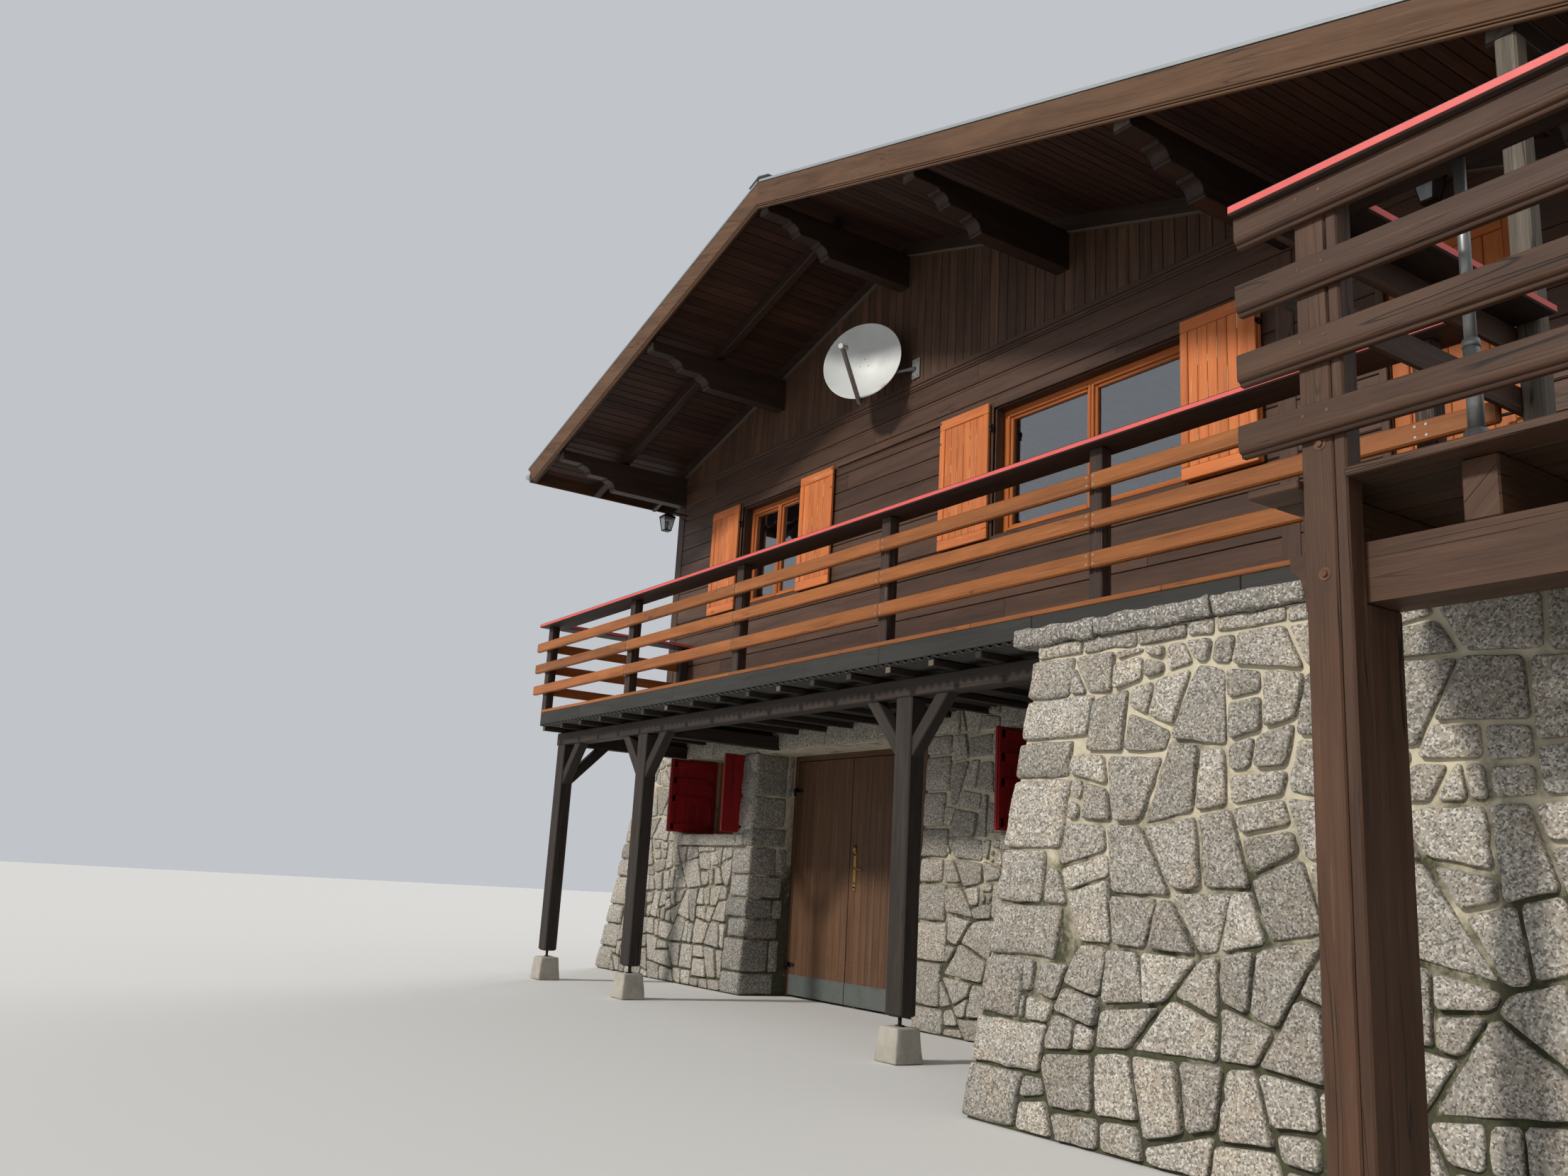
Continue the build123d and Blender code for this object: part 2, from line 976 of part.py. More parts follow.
# Casings: four boards on the wall around each upper window
def casing_boards(a0, a1, z0, z1):
    """Places of the four boards, as (a, b, low, high) along the wall and up."""
    out = casing_width
    return (
        (a0 - out, a0, z0 - out, z1 + out),
        (a1, a1 + out, z0 - out, z1 + out),
        (a0, a1, z0 - out, z0),
        (a0, a1, z1, z1 + out),
    )


casings = []
for left, width, leaf in upper_windows:
    for a, b, low, high in casing_boards(left, left + width, upper_sill_z, upper_head_z):
        board = block(a, b, -casing_depth, 0, low, high)
        for z in orange_heights:
            for x in (left - jamb_to_pin, left + width + jamb_to_pin):
                board -= block(x - pin_radius, x + pin_radius, -orange_standoff, 1, z - eye_height, z)
        casings.extend(board.solids())
for left, width in rear_windows:
    for a, b, low, high in casing_boards(left, left + width, upper_sill_z, upper_head_z):
        casings.append(block(a, b, house_depth, house_depth + casing_depth, low, high))
side_run = (side_window_y, side_window_y + side_window_run)
for x0, x1 in ((house_left - casing_depth, house_left), (house_right, house_right + casing_depth)):
    for a, b, low, high in casing_boards(*side_run, side_window_z0, side_window_z1):
        casings.append(block(x0, x1, a, b, low, high))
save("window_casings", *casings)


# Roof
def purlin(x):
    """A purlin with stepped ends at the front, and one step at the shorter rear overhang."""
    bottom = purlin_bottom(x)
    top = purlin_top(x)
    y = roof_front + purlin_setback
    low = bottom + sum(step_rises)
    points = [(y, top), (y, low)]
    for run, rise in zip(step_lengths, step_rises):
        y += run
        points.append((y, low))
        low -= rise
        points.append((y, low))
    end = roof_rear - purlin_setback
    points.append((end - step_lengths[0], low))
    points.append((end - step_lengths[0], low + step_rises[0]))
    points.append((end, low + step_rises[0]))
    points.append((end, top))
    return along_x(points, x - purlin_width / 2, x + purlin_width / 2)


save("purlins", *[purlin(x) for x in purlin_xs])


boarding_front = roof_front + barge_thickness
boarding_rear = roof_rear - barge_thickness
save(
    "roof_boarding",
    slope_slab(left_eave_x, boarding_front, boarding_rear, 0, boarding),
    slope_slab(right_eave_x, boarding_front, boarding_rear, 0, boarding),
)
cap_z = ridge_soffit_z + boarding + covering
ridge_cap = along_y(
    [
        (ridge_x - ridge_cap_half, cap_z - roof_slope * ridge_cap_half),
        (ridge_x, cap_z),
        (ridge_x + ridge_cap_half, cap_z - roof_slope * ridge_cap_half),
        (ridge_x + ridge_cap_half, cap_z - roof_slope * ridge_cap_half + ridge_cap_thickness),
        (ridge_x, cap_z + ridge_cap_thickness),
        (ridge_x - ridge_cap_half, cap_z - roof_slope * ridge_cap_half + ridge_cap_thickness),
    ],
    roof_front,
    roof_rear,
)
save(
    "roof_covering",
    slope_slab(left_eave_x - edge_overhang, roof_front, roof_rear, boarding, covering),
    slope_slab(right_eave_x + edge_overhang, roof_front, roof_rear, boarding, covering),
    ridge_cap,
)
barges = []
for y in (roof_front, roof_rear - barge_thickness):
    for x_eave in (left_eave_x, right_eave_x):
        inward = 1 if x_eave < ridge_x else -1
        foot = x_eave + inward * barge_depth * 0.8
        barges.append(
            along_y(
                [
                    (x_eave, soffit(x_eave) + boarding),
                    (ridge_x, ridge_soffit_z + boarding),
                    (ridge_x, ridge_soffit_z + boarding - barge_depth),
                    (foot, soffit(foot) + boarding - barge_depth),
                ],
                y,
                y + barge_thickness,
            )
        )


def gutter(x_eave, side):
    """A half-round gutter hung against the eave board."""
    x = x_eave + side * (gutter_radius + edge_overhang)
    z = soffit(x_eave) - gutter_drop
    length = roof_rear - roof_front - 2 * barge_thickness
    y = (roof_front + roof_rear) / 2
    lie = Rot(90, 0, 0)
    pipe = Pos(x, y, z) * lie * Cylinder(gutter_radius, length)
    pipe -= Pos(x, y, z) * lie * Cylinder(gutter_radius - gutter_wall, length + 2)
    reach = 2 * gutter_radius
    pipe -= block(x - reach, x + reach, roof_front, roof_rear, z, z + reach)
    return pipe


def eave_board(x_eave, side):
    """An upright board across the rafter ends, under the edge of the covering."""
    outer = x_eave + side * edge_overhang
    inner = x_eave
    top = boarding
    return along_y(
        [
            (inner, soffit(x_eave) - rafter_height),
            (outer, soffit(x_eave) - rafter_height),
            (outer, soffit(outer) + top),
            (inner, soffit(inner) + top),
        ],
        boarding_front,
        boarding_rear,
    )


eave_boards = [eave_board(left_eave_x, -1), eave_board(right_eave_x, 1)]
save("roof_edge_boards", *barges, *eave_boards)
save("gutters", gutter(left_eave_x, -1), gutter(right_eave_x, 1))

# Balcony
joist_top = deck_top - deck_board
joist_bottom = joist_top - joist_height
batten_top = joist_bottom - sheet_rise
beam_top = batten_top - batten_height
beam_bottom = beam_top - beam_height
beam_back = beam_front + beam_thickness
beam_end = post_centres[-1] + post_width / 2 + first_post_inset
save("balcony_beam", block(balcony_left, beam_end, beam_front, beam_back, beam_bottom, beam_top))


def corrugated_sheet():
    """A wavy sheet between the battens and the joists, as flat-sided waves."""
    top = []
    x = balcony_left + sheet_end_gap
    high = False
    while x < balcony_right - sheet_pitch / 2:
        z = batten_top + (sheet_rise - sheet_thickness if high else 0)
        top.append((x, z))
        top.append((x + sheet_pitch / 4, z))
        x += sheet_pitch / 2
        high = not high
    under = top[::-1]
    outline = [(px, pz + sheet_thickness) for px, pz in top] + under
    return along_y(outline, fascia_front, -sheet_end_gap)


save("corrugated_sheet", corrugated_sheet())
battens = []
x = balcony_left + batten_inset
while x < balcony_right - batten_width:
    battens.append(
        block(
            x - batten_width / 2,
            x + batten_width / 2,
            fascia_front + batten_setback,
            stone_face(beam_top),
            beam_top,
            batten_top,
        )
    )
    x += batten_pitch
cross_beams = []
for x in post_centres[:2]:
    cross_beams.append(
        block(
            x - cross_beam_width / 2,
            x + cross_beam_width / 2,
            beam_back,
            stone_face(beam_bottom),
            beam_bottom,
            beam_top,
        )
    )
brace_run = brace_section * math.sqrt(2)
cross_beams[0] += along_x(
    [
        (beam_back, beam_bottom - brace_reach),
        (beam_back + brace_reach, beam_bottom),
        (beam_back + brace_reach - brace_run, beam_bottom),
        (beam_back, beam_bottom - brace_reach + brace_run),
    ],
    post_centres[0] - brace_section / 2,
    post_centres[0] + brace_section / 2,
)
save("cross_beams", *cross_beams)
joists = []
joist_count = 11
joist_step = (balcony_right - balcony_left - fascia_thickness - joist_width) / (joist_count - 1)
for k in range(joist_count):
    x = balcony_left + fascia_thickness + k * joist_step
    joists.append(
        block(
            x,
            x + joist_width,
            fascia_front + fascia_thickness,
            stone_face(joist_bottom),
            joist_bottom,
            joist_top,
        )
    )
save("balcony_joists", *joists, *battens)
balcony_deck = block(
    balcony_left + fascia_thickness,
    balcony_right,
    fascia_front + fascia_thickness,
    0,
    joist_top,
    deck_top,
)
edge_top = deck_top + fascia_above_deck
fascia_top = edge_top - edge_board_height


def around_balcony(low, high):
    """A board along the front of the balcony and one along its left end."""
    back = fascia_front + fascia_thickness
    return (
        block(balcony_left, balcony_right, fascia_front, back, low, high),
        block(balcony_left, balcony_left + fascia_thickness, back, -fascia_thickness, low, high),
    )


save("balcony_fascia", *around_balcony(joist_bottom, fascia_top))


def brace(x, side):
    """A knee brace from a post up to the beam."""
    face = x + side * post_width / 2
    run = brace_section * math.sqrt(2)
    z = beam_bottom
    y0 = beam_front + (beam_thickness - brace_section) / 2
    return along_y(
        [
            (face, z - brace_reach),
            (face + side * brace_reach, z),
            (face + side * (brace_reach - run), z),
            (face, z - brace_reach + run),
        ],
        y0,
        y0 + brace_section,
    )


posts = []
for number, x in enumerate(post_centres):
    half = post_width / 2
    post = block(x - half, x + half, beam_front, beam_front + post_depth, post_bottom, beam_bottom)
    if number > 0:
        post += brace(x, -1)
    if number < len(post_centres) - 1:
        post += brace(x, 1)
    posts.append(post)
post_middle = beam_front + post_depth / 2
for number, x in enumerate(post_centres):
    posts[number] += rod(x, post_middle, plinth_height, post_bottom, pin_post_radius)
save("balcony_posts", *posts)
plinths = []
for x in post_centres:
    base = Pos(x, post_middle, 0) * Rectangle(plinth_width, plinth_width)
    head = Pos(x, post_middle, plinth_height) * Rectangle(plinth_width * 0.8, plinth_width * 0.8)
    plinths.append(loft([base, head]))
save("post_plinths", *plinths)

rail_front = fascia_front
post_front = rail_front + rail_thickness
rail_post_xs = [rail_post_first + k * rail_post_pitch for k in range(rail_posts)]
rail_post_solids = []
for number, x in enumerate(rail_post_xs):
    rail_post_solids.append(
        block(
            x - rail_post_width / 2,
            x + rail_post_width / 2,
            post_front,
            post_front + rail_post_depth,
            deck_top if number else joist_bottom,
            cap_bottom,
        )
    )
rail_post_solids.append(
    block(
        rail_post_first - rail_post_width / 2,
        rail_post_first + rail_post_width / 2,
        -fascia_thickness - rail_post_depth,
        -fascia_thickness,
        joist_bottom,
        cap_bottom,
    )
)
save("balcony_rail_posts", *rail_post_solids)
rails = []
edges = [rail_end] + rail_post_xs[1:-1] + [balcony_right]
for row in range(rail_count):
    z = rail_top - row * rail_pitch
    for a, b in zip(edges[:-1], edges[1:]):
        rails.append(
            block(a + joint_gap / 2, b - joint_gap / 2, rail_front, post_front, z - rail_height, z)
        )
    x = rail_post_first - rail_post_width / 2
    rails.append(block(x - rail_thickness, x, post_front + joint_gap, -wall_gap, z - rail_height, z))
save("balcony_rails", *rails, *around_balcony(fascia_top, edge_top))
cap_left = rail_post_first - rail_post_width / 2 - cap_overhang
caps = [
    block(cap_left, balcony_right, cap_front, cap_front + cap_width, cap_bottom, cap_bottom + cap_thickness),
    block(
        cap_left,
        cap_left + cap_width,
        cap_front + cap_width,
        -wall_gap,
        cap_bottom,
        cap_bottom + cap_thickness,
    ),
]

# Granite wing wall with its coping
terrace_joist_bottom = terrace_beam_bottom + terrace_beam_height
wing_back = wing_front + wing_thickness
wing_top = terrace_joist_bottom
wing = along_x(
    [(wing_front - front_batter, 0), (wing_back, 0), (wing_back, wing_top), (wing_front, wing_top)],
    wing_left - wing_left_batter,
    wing_right,
)
wing -= along_y(
    [
        (wing_left - wing_left_batter, 0),
        (wing_left, wing_top),
        (wing_left - 2 * wing_left_batter, wing_top),
        (wing_left - 2 * wing_left_batter, 0),
    ],
    wing_front - 2 * front_batter,
    wing_back + front_batter,
)
raised = coping_top - coping_height
wing += block(wing_left, terrace_left - coping_stop, wing_front, wing_back, wing_top, raised)
save("wing_wall", wing)
save(
    "wing_coping",
    block(
        wing_left - coping_end,
        terrace_left - coping_stop,
        wing_front - coping_overhang,
        wing_back + coping_overhang / 2,
        raised,
        coping_top,
    ),
)

# Terrace
terrace_beam = along_y(
    [
        (terrace_beam_left, terrace_joist_bottom),
        (terrace_right - beam_right_inset, terrace_joist_bottom),
        (terrace_right - beam_right_inset - beam_end_slant, terrace_beam_bottom),
        (terrace_beam_left + beam_end_slant, terrace_beam_bottom),
    ],
    terrace_beam_front,
    terrace_beam_front + terrace_beam_thickness,
)
save("terrace_beam", terrace_beam)
terrace_joist_top = terrace_joist_bottom + terrace_joist_height
terrace_joists = []
x = terrace_joist_first
while x < terrace_right - terrace_joist_width / 2:
    terrace_joists.append(
        block(
            x - terrace_joist_width / 2,
            x + terrace_joist_width / 2,
            terrace_beam_front,
            terrace_rear,
            terrace_joist_bottom,
            terrace_joist_top,
        )
    )
    x += terrace_joist_pitch
save("terrace_joists", *terrace_joists)
terrace_deck_top = terrace_joist_top + terrace_deck_board
big_post_lefts = (big_post_left, big_post_left + big_post_bay)
post_back = terrace_beam_front
big_post_front = post_back - big_post_depth
big_rail_top = terrace_deck_top + big_rail_above_deck
big_cap_bottom = big_rail_top + 1
deck_left = balcony_right + 2 * deck_clearance
deck = block(
    deck_left, terrace_right, terrace_deck_front, terrace_rear, terrace_joist_top, terrace_deck_top
)
deck += block(
    terrace_left,
    deck_left,
    terrace_deck_front,
    cap_front - deck_clearance,
    terrace_joist_top,
    terrace_deck_top,
)
for x in big_post_lefts:
    deck -= block(x, x + big_post_width, terrace_deck_front - 1, post_back, 0, big_cap_bottom)
save("decks", balcony_deck, deck)
front_posts = []
rear_posts = []
for x in big_post_lefts:
    front_posts.append(block(x, x + big_post_width, big_post_front, post_back, 0, big_cap_bottom))
    rear_posts.append(
        block(x, x + big_post_width, post_back, post_back + terrace_beam_thickness, 0, terrace_beam_bottom)
    )
rear_corner_x = big_post_lefts[1]
rear_rail_post = block(
    rear_corner_x,
    rear_corner_x + big_post_width,
    terrace_rear - big_post_depth,
    terrace_rear,
    terrace_deck_top,
    big_cap_bottom,
)
save("terrace_posts", *front_posts, *rear_posts)
roof_post_x = purlin_xs[-1] + roof_post_offset
half = roof_post_section / 2
roof_post = block(
    roof_post_x - half,
    roof_post_x + half,
    roof_post_y - half,
    roof_post_y + half,
    terrace_deck_top,
    purlin_bottom(purlin_xs[-1]) + sum(step_rises),
)
save("roof_post", roof_post, rear_rail_post)
big_rails = []
for row in range(big_rail_count):
    z = big_rail_top - row * big_rail_pitch
    big_rails.append(
        block(
            big_rail_left,
            terrace_right + big_rail_overrun,
            big_rail_front,
            big_post_front,
            z - big_rail_height,
            z,
        )
    )
    side_x = big_post_lefts[1] + big_post_width
    big_rails.append(
        block(
            side_x,
            side_x + big_rail_thickness,
            big_post_front + joint_gap,
            terrace_rear,
            z - big_rail_height,
            z,
        )
    )
    if row < 2:
        big_rails.append(
            block(
                roof_post_x - half - big_rail_thickness,
                roof_post_x - half,
                big_post_front + joint_gap,
                roof_post_y + half,
                z - big_rail_height,
                z,
            )
        )
save("terrace_rails", *big_rails)
big_cap_top = big_cap_bottom + big_cap_thickness
big_cap_left = big_rail_left - joint_gap
side_cap_left = big_post_lefts[1] - big_rail_overrun
big_caps = [
    block(
        big_cap_left,
        terrace_right + big_rail_overrun,
        big_cap_front,
        big_cap_front + big_cap_width,
        big_cap_bottom,
        big_cap_top,
    ),
    block(
        big_cap_left,
        big_cap_left + big_cap_width,
        big_cap_front + big_cap_width,
        roof_post_y - half,
        big_cap_bottom,
        big_cap_top,
    ),
    block(
        side_cap_left,
        side_cap_left + big_cap_width,
        big_cap_front + big_cap_width,
        terrace_rear + coping_stop,
        big_cap_bottom,
        big_cap_top,
    ),
]
save("handrails", *caps, *big_caps)

# Steel tube in its socket on the terrace
socket = rod(tube_x, tube_y, terrace_deck_top, terrace_deck_top + socket_height, socket_radius)
socket += rod(tube_x, tube_y, terrace_deck_top, terrace_deck_top + socket_flange, socket_flange_radius)
socket += rod(tube_x, tube_y, terrace_deck_top, terrace_deck_top + socket_collar, socket_collar_radius)
socket += rod(tube_x, tube_y, terrace_deck_top, big_cap_bottom - tube_gap, tube_radius)
save("steel_tube", socket)


# Satellite dish on a wall arm
def dish():
    """A shallow bowl with its receiver arm, facing the front and a little to the right."""
    turn = math.radians(dish_turn)
    lift = math.radians(dish_lift)
    facing = (math.sin(turn) * math.cos(lift), -math.cos(turn) * math.cos(lift), math.sin(lift))
    sphere = (dish_radius**2 + dish_depth**2) / (2 * dish_depth)
    bowl = Sphere(sphere + dish_sheet) - Sphere(sphere)
    bowl &= Pos(0, 0, -sphere) * Cylinder(dish_radius, 2 * dish_depth)
    bowl = Pos(0, 0, sphere - dish_depth) * bowl
    back = -dish_depth - dish_sheet / 2
    made = bowl + bar((0, 0, back), (0, 0, back - boss_length), boss_radius)
    foot = (0, -dish_radius - arm_hang, -arm_back)
    head = (0, -arm_rise, dish_arm_reach)
    made += bar((0, -arm_hang, back - boss_grip), foot, arm_radius)
    made += bar(foot, head, arm_radius)
    receiver_front = (0, -receiver_low, dish_arm_reach + receiver_reach)
    receiver_back = (0, -receiver_high, dish_arm_reach + receiver_reach - receiver_length)
    made += bar(receiver_front, receiver_back, receiver_radius)
    across = Vector(math.cos(turn), math.sin(turn), 0)
    place = Plane(origin=dish_centre, x_dir=across, z_dir=facing)
    made = place.location * made
    rear = place.from_local_coords(Vector(0, 0, back - boss_grip))
    foot_x, foot_z = dish_foot
    wall_end = (foot_x, -foot_plate + arm_bite, foot_z)
    elbow = (rear.X, rear.Y, foot_z)
    made += bar(wall_end, elbow, arm_radius)
    made += bar(elbow, (rear.X, rear.Y, rear.Z + mast_rise), arm_radius)
    made += block(
        foot_x - foot_plate_half_width,
        foot_x + foot_plate_half_width,
        -foot_plate,
        0,
        foot_z - foot_plate_half_height,
        foot_z + foot_plate_half_height,
    )
    return made


save("satellite_dish", dish())


def lantern(x, y, z):
    """A four-sided lantern on a wall arm."""
    base = Pos(x, y, z) * Rectangle(lantern_size * 0.6, lantern_size * 0.6)
    top = Pos(x, y, z + lantern_height) * Rectangle(lantern_size, lantern_size)
    body = loft([base, top])
    bracket = block(
        x - lantern_plate, x + lantern_plate, y, 0, z + lantern_height, z + lantern_height + 2 * lantern_plate
    )
    middle = z + lantern_height
    plate = block(
        x - lantern_size / 4,
        x + lantern_size / 4,
        -lantern_plate,
        0,
        middle - lantern_size / 2,
        middle + lantern_size / 2,
    )
    return body + bracket + plate


corner_lantern_x = house_left + corner_lantern_inset
save(
    "lanterns",
    lantern(corner_lantern_x, corner_lantern_y, soffit(corner_lantern_x) - corner_lantern_drop),
    lantern(
        balcony_door_left + balcony_door_width / 2, door_lantern_y, upper_head_z + door_lantern_rise
    ),
)
print("nodes written:", len(os.listdir("parts")))
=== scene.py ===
import bpy
import json
import math
import random
from mathutils import Matrix, Vector, noise

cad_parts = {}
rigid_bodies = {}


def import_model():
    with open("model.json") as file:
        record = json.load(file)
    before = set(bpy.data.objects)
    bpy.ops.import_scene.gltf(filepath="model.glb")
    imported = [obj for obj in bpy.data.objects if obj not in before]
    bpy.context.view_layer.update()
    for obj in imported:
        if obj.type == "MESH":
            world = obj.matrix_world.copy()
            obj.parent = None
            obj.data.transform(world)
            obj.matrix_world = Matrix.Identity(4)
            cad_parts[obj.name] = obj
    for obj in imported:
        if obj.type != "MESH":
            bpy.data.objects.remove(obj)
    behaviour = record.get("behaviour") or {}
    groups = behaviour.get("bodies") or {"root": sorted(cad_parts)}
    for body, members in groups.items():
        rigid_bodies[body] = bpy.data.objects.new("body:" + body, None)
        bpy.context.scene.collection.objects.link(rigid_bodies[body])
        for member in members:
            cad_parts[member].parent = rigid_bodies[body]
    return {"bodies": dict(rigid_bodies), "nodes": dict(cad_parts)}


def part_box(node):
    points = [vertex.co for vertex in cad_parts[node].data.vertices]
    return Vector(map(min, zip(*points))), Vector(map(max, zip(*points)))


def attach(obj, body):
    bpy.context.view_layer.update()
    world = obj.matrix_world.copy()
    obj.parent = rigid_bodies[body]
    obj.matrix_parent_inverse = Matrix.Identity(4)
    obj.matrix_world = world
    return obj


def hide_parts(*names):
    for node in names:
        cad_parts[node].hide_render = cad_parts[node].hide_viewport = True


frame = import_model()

random.seed(41)
noise.seed_set(41)  # noise_vector would follow the clock
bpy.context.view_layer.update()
nodes = frame["nodes"]
axisX, axisY, axisZ = Vector((1, 0, 0)), Vector((0, 1, 0)), Vector((0, 0, 1))
print("frame loaded:", len(nodes), "nodes")


def ink(text):  # a colour as it looks on screen
    values = [int(text[i:i + 2], 16) / 255 for i in (0, 2, 4)]
    return (*[v / 12.92 if v <= 0.04045 else ((v + 0.055) / 1.055) ** 2.4 for v in values], 1)


# mesh helpers: a soup gathers faces, each with a grain direction and the tone of its board
def newSoup():
    return {"index": {}, "points": [], "faces": [], "uvs": [], "tones": [], "slots": [], "smooth": []}


def addFace(soup, corners, grain=None, tone=0.5, slot=0, shift=(0, 0), smooth=False):
    picks = []
    index = soup["index"]
    for c in corners:
        key = (round(c[0], 5), round(c[1], 5), round(c[2], 5))
        if key not in index:
            index[key] = len(soup["points"])
            soup["points"].append(key)
        picks.append(index[key])
    keep = [i for i, p in enumerate(picks) if p != picks[i - 1]]
    corners, picks = [corners[i] for i in keep], [picks[i] for i in keep]
    if len(set(picks)) != len(picks) or len(picks) < 3:
        return
    uv = [(0.0, 0.0)] * len(picks)
    if grain is not None:
        normal = Vector((0, 0, 0))
        for a, b in zip(corners, corners[1:] + corners[:1]):
            normal += a.cross(b)
        normal = normal.normalized() if normal.length > 1e-12 else axisZ
        if abs(normal.dot(grain)) > 0.8:  # end grain
            first = grain.orthogonal().normalized()
            second = grain.cross(first)
        else:
            first, second = grain, grain.cross(normal).normalized()
        uv = [(c.dot(first) + shift[0], c.dot(second) + shift[1]) for c in corners]
    for key, value in (("faces", picks), ("uvs", uv), ("tones", tone), ("slots", slot), ("smooth", smooth)):
        soup[key].append(value)


def joinRings(soup, near, far, *looks, **more):
    for a, b, c, d in zip(near, near[1:] + near[:1], far[1:] + far[:1], far):
        addFace(soup, [a, b, c, d], *looks, **more)


def addPrism(soup, near, far, *looks):
    joinRings(soup, near, far, *looks)
    addFace(soup, near[::-1], *looks)
    addFace(soup, far, *looks)


def makePiece(name, soup, finishes, replaced="", body="house"):
    mesh = bpy.data.meshes.new(name)
    mesh.from_pydata(soup["points"], [], soup["faces"])
    mesh.uv_layers.new(name="grain").data.foreach_set("uv", [n for face in soup["uvs"] for uv in face for n in uv])
    mesh.attributes.new("tone", "FLOAT", "FACE").data.foreach_set("value", soup["tones"])
    mesh.polygons.foreach_set("material_index", soup["slots"])
    mesh.polygons.foreach_set("use_smooth", soup["smooth"])
    for key in finishes.split():
        mesh.materials.append(finish[key])
    mesh.update()
    piece = bpy.data.objects.new(name, mesh)
    bpy.context.scene.collection.objects.link(piece)
    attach(piece, body)
    if replaced:
        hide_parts(*replaced.split())


def grainLooks(grain, tone, slot, reach=30):  # each board starts at its own place in the grain
    return grain, random.random() if tone is None else tone, slot, (random.uniform(0, reach), random.uniform(0, reach))


def chamfered(width, depth, cut=0.003):
    w, d = width / 2, depth / 2
    return [(w - cut, -d), (w, -d + cut), (w, d - cut), (w - cut, d),
            (-w + cut, d), (-w, d - cut), (-w, -d + cut), (-w + cut, -d)]


def insetRing(shape, amount):
    made = []
    for i, (x, y) in enumerate(shape):
        (ax, ay), (bx, by) = shape[i - 1], shape[(i + 1) % len(shape)]
        before = Vector((ay - y, x - ax)).normalized()
        both = before + Vector((y - by, bx - x)).normalized()
        n = both.normalized() if both.length > 1e-6 else before
        made.append((x + n.x * amount, y + n.y * amount))
    return made


def extrude(soup, shape, start, axisA, axisB, length, grain=None, edge=0.003, tone=None, slot=0, cutStart=None, cutEnd=None):
    along = axisA.cross(axisB)
    looks = grainLooks(along if grain is None else grain, tone, slot)
    small = insetRing(shape, edge)
    rings = []
    for form, reach, cut in ((small, 0, cutStart), (shape, edge, cutStart), (shape, length - edge, cutEnd), (small, length, cutEnd)):
        ring = [start + axisA * a + axisB * b + along * reach for a, b in form]
        if cut:  # a slanting end: a point of its plane and the plane's normal
            point, normal = cut
            offset = reach if len(rings) < 2 else reach - length
            ring = [p + along * ((point - p).dot(normal) / along.dot(normal) + offset) for p in ring]
        rings.append(ring)
    for near, far in zip(rings, rings[1:]):
        joinRings(soup, near, far, *looks)
    addFace(soup, rings[0][::-1], *looks)
    addFace(soup, rings[-1], *looks)


def addBeam(soup, start, end, width, depth, across=axisZ, edge=0.004, **more):
    start, end = Vector(start), Vector(end)
    along = (end - start).normalized()
    a = (across - along * across.dot(along)).normalized()
    extrude(soup, chamfered(width, depth, edge), start, a, along.cross(a), (end - start).length, edge=edge, **more)


def addBox(soup, lo, hi, grain="x", edge=0.003, **more):
    lo, hi = Vector(lo), Vector(hi)
    size, start = hi - lo, (lo + hi) / 2
    u, v, along = {"x": (1, 2, 0), "y": (2, 0, 1), "z": (0, 1, 2)}[grain]
    start[along] = lo[along]
    unit = (axisX, axisY, axisZ)
    extrude(soup, chamfered(size[u], size[v], edge), start, unit[u], unit[v], size[along], edge=edge, **more)


def addBetween(soup, xs, ys, zs, grain="x", edge=0.001, slot=1):  # a box whose limits come in any order
    addBox(soup, [min(xs), min(ys), min(zs)], [max(xs), max(ys), max(zs)], grain, edge, slot=slot)


def circle(radius, count, first=0.0, whole=2 * math.pi):
    turns = [first + whole * k / count for k in range(count)]
    return [(radius * math.cos(t), radius * math.sin(t)) for t in turns]


def divided(start, end, count):
    return [(start + (end - start) * k / count, start + (end - start) * (k + 1) / count) for k in range(count)]


def quarter(count):  # cosine and sine from 0 to 90 degrees
    return [(math.cos(t), math.sin(t)) for t in (math.pi / 2 * k / count for k in range(count + 1))]


def addTube(soup, points, radius, sides=16, slot=0):
    points = [Vector(p) for p in points]
    rings = []
    for i, p in enumerate(points):
        along = (points[min(i + 1, len(points) - 1)] - points[max(i - 1, 0)]).normalized()
        a = (a - along * a.dot(along)).normalized() if i else along.orthogonal().normalized()
        b = along.cross(a)
        r = radius[i] if isinstance(radius, list) else radius
        rings.append([p + (a * x + b * y) * r for x, y in circle(1, sides)])
    for near, far in zip(rings, rings[1:]):
        joinRings(soup, near, far, None, 0.5, slot, smooth=True)
    addFace(soup, rings[0][::-1], None, 0.5, slot)
    addFace(soup, rings[-1], None, 0.5, slot)


def addPin(soup, axis, a, b, marks, radius, sides=16, slot=0):  # a straight tube along y at x, z or along z at x, y
    addTube(soup, [(a, m, b) if axis == "y" else (a, b, m) for m in marks], radius, sides, slot)


def addBolt(soup, centre, outward, radius=0.009, slot=0):  # hexagon head on a washer
    outward, centre = Vector(outward).normalized(), Vector(centre)
    addTube(soup, [centre, centre + outward * 0.002], radius * 1.9, 14, slot)
    addTube(soup, [centre + outward * 0.002, centre + outward * 0.009], [radius, radius * 0.97], 6, slot)


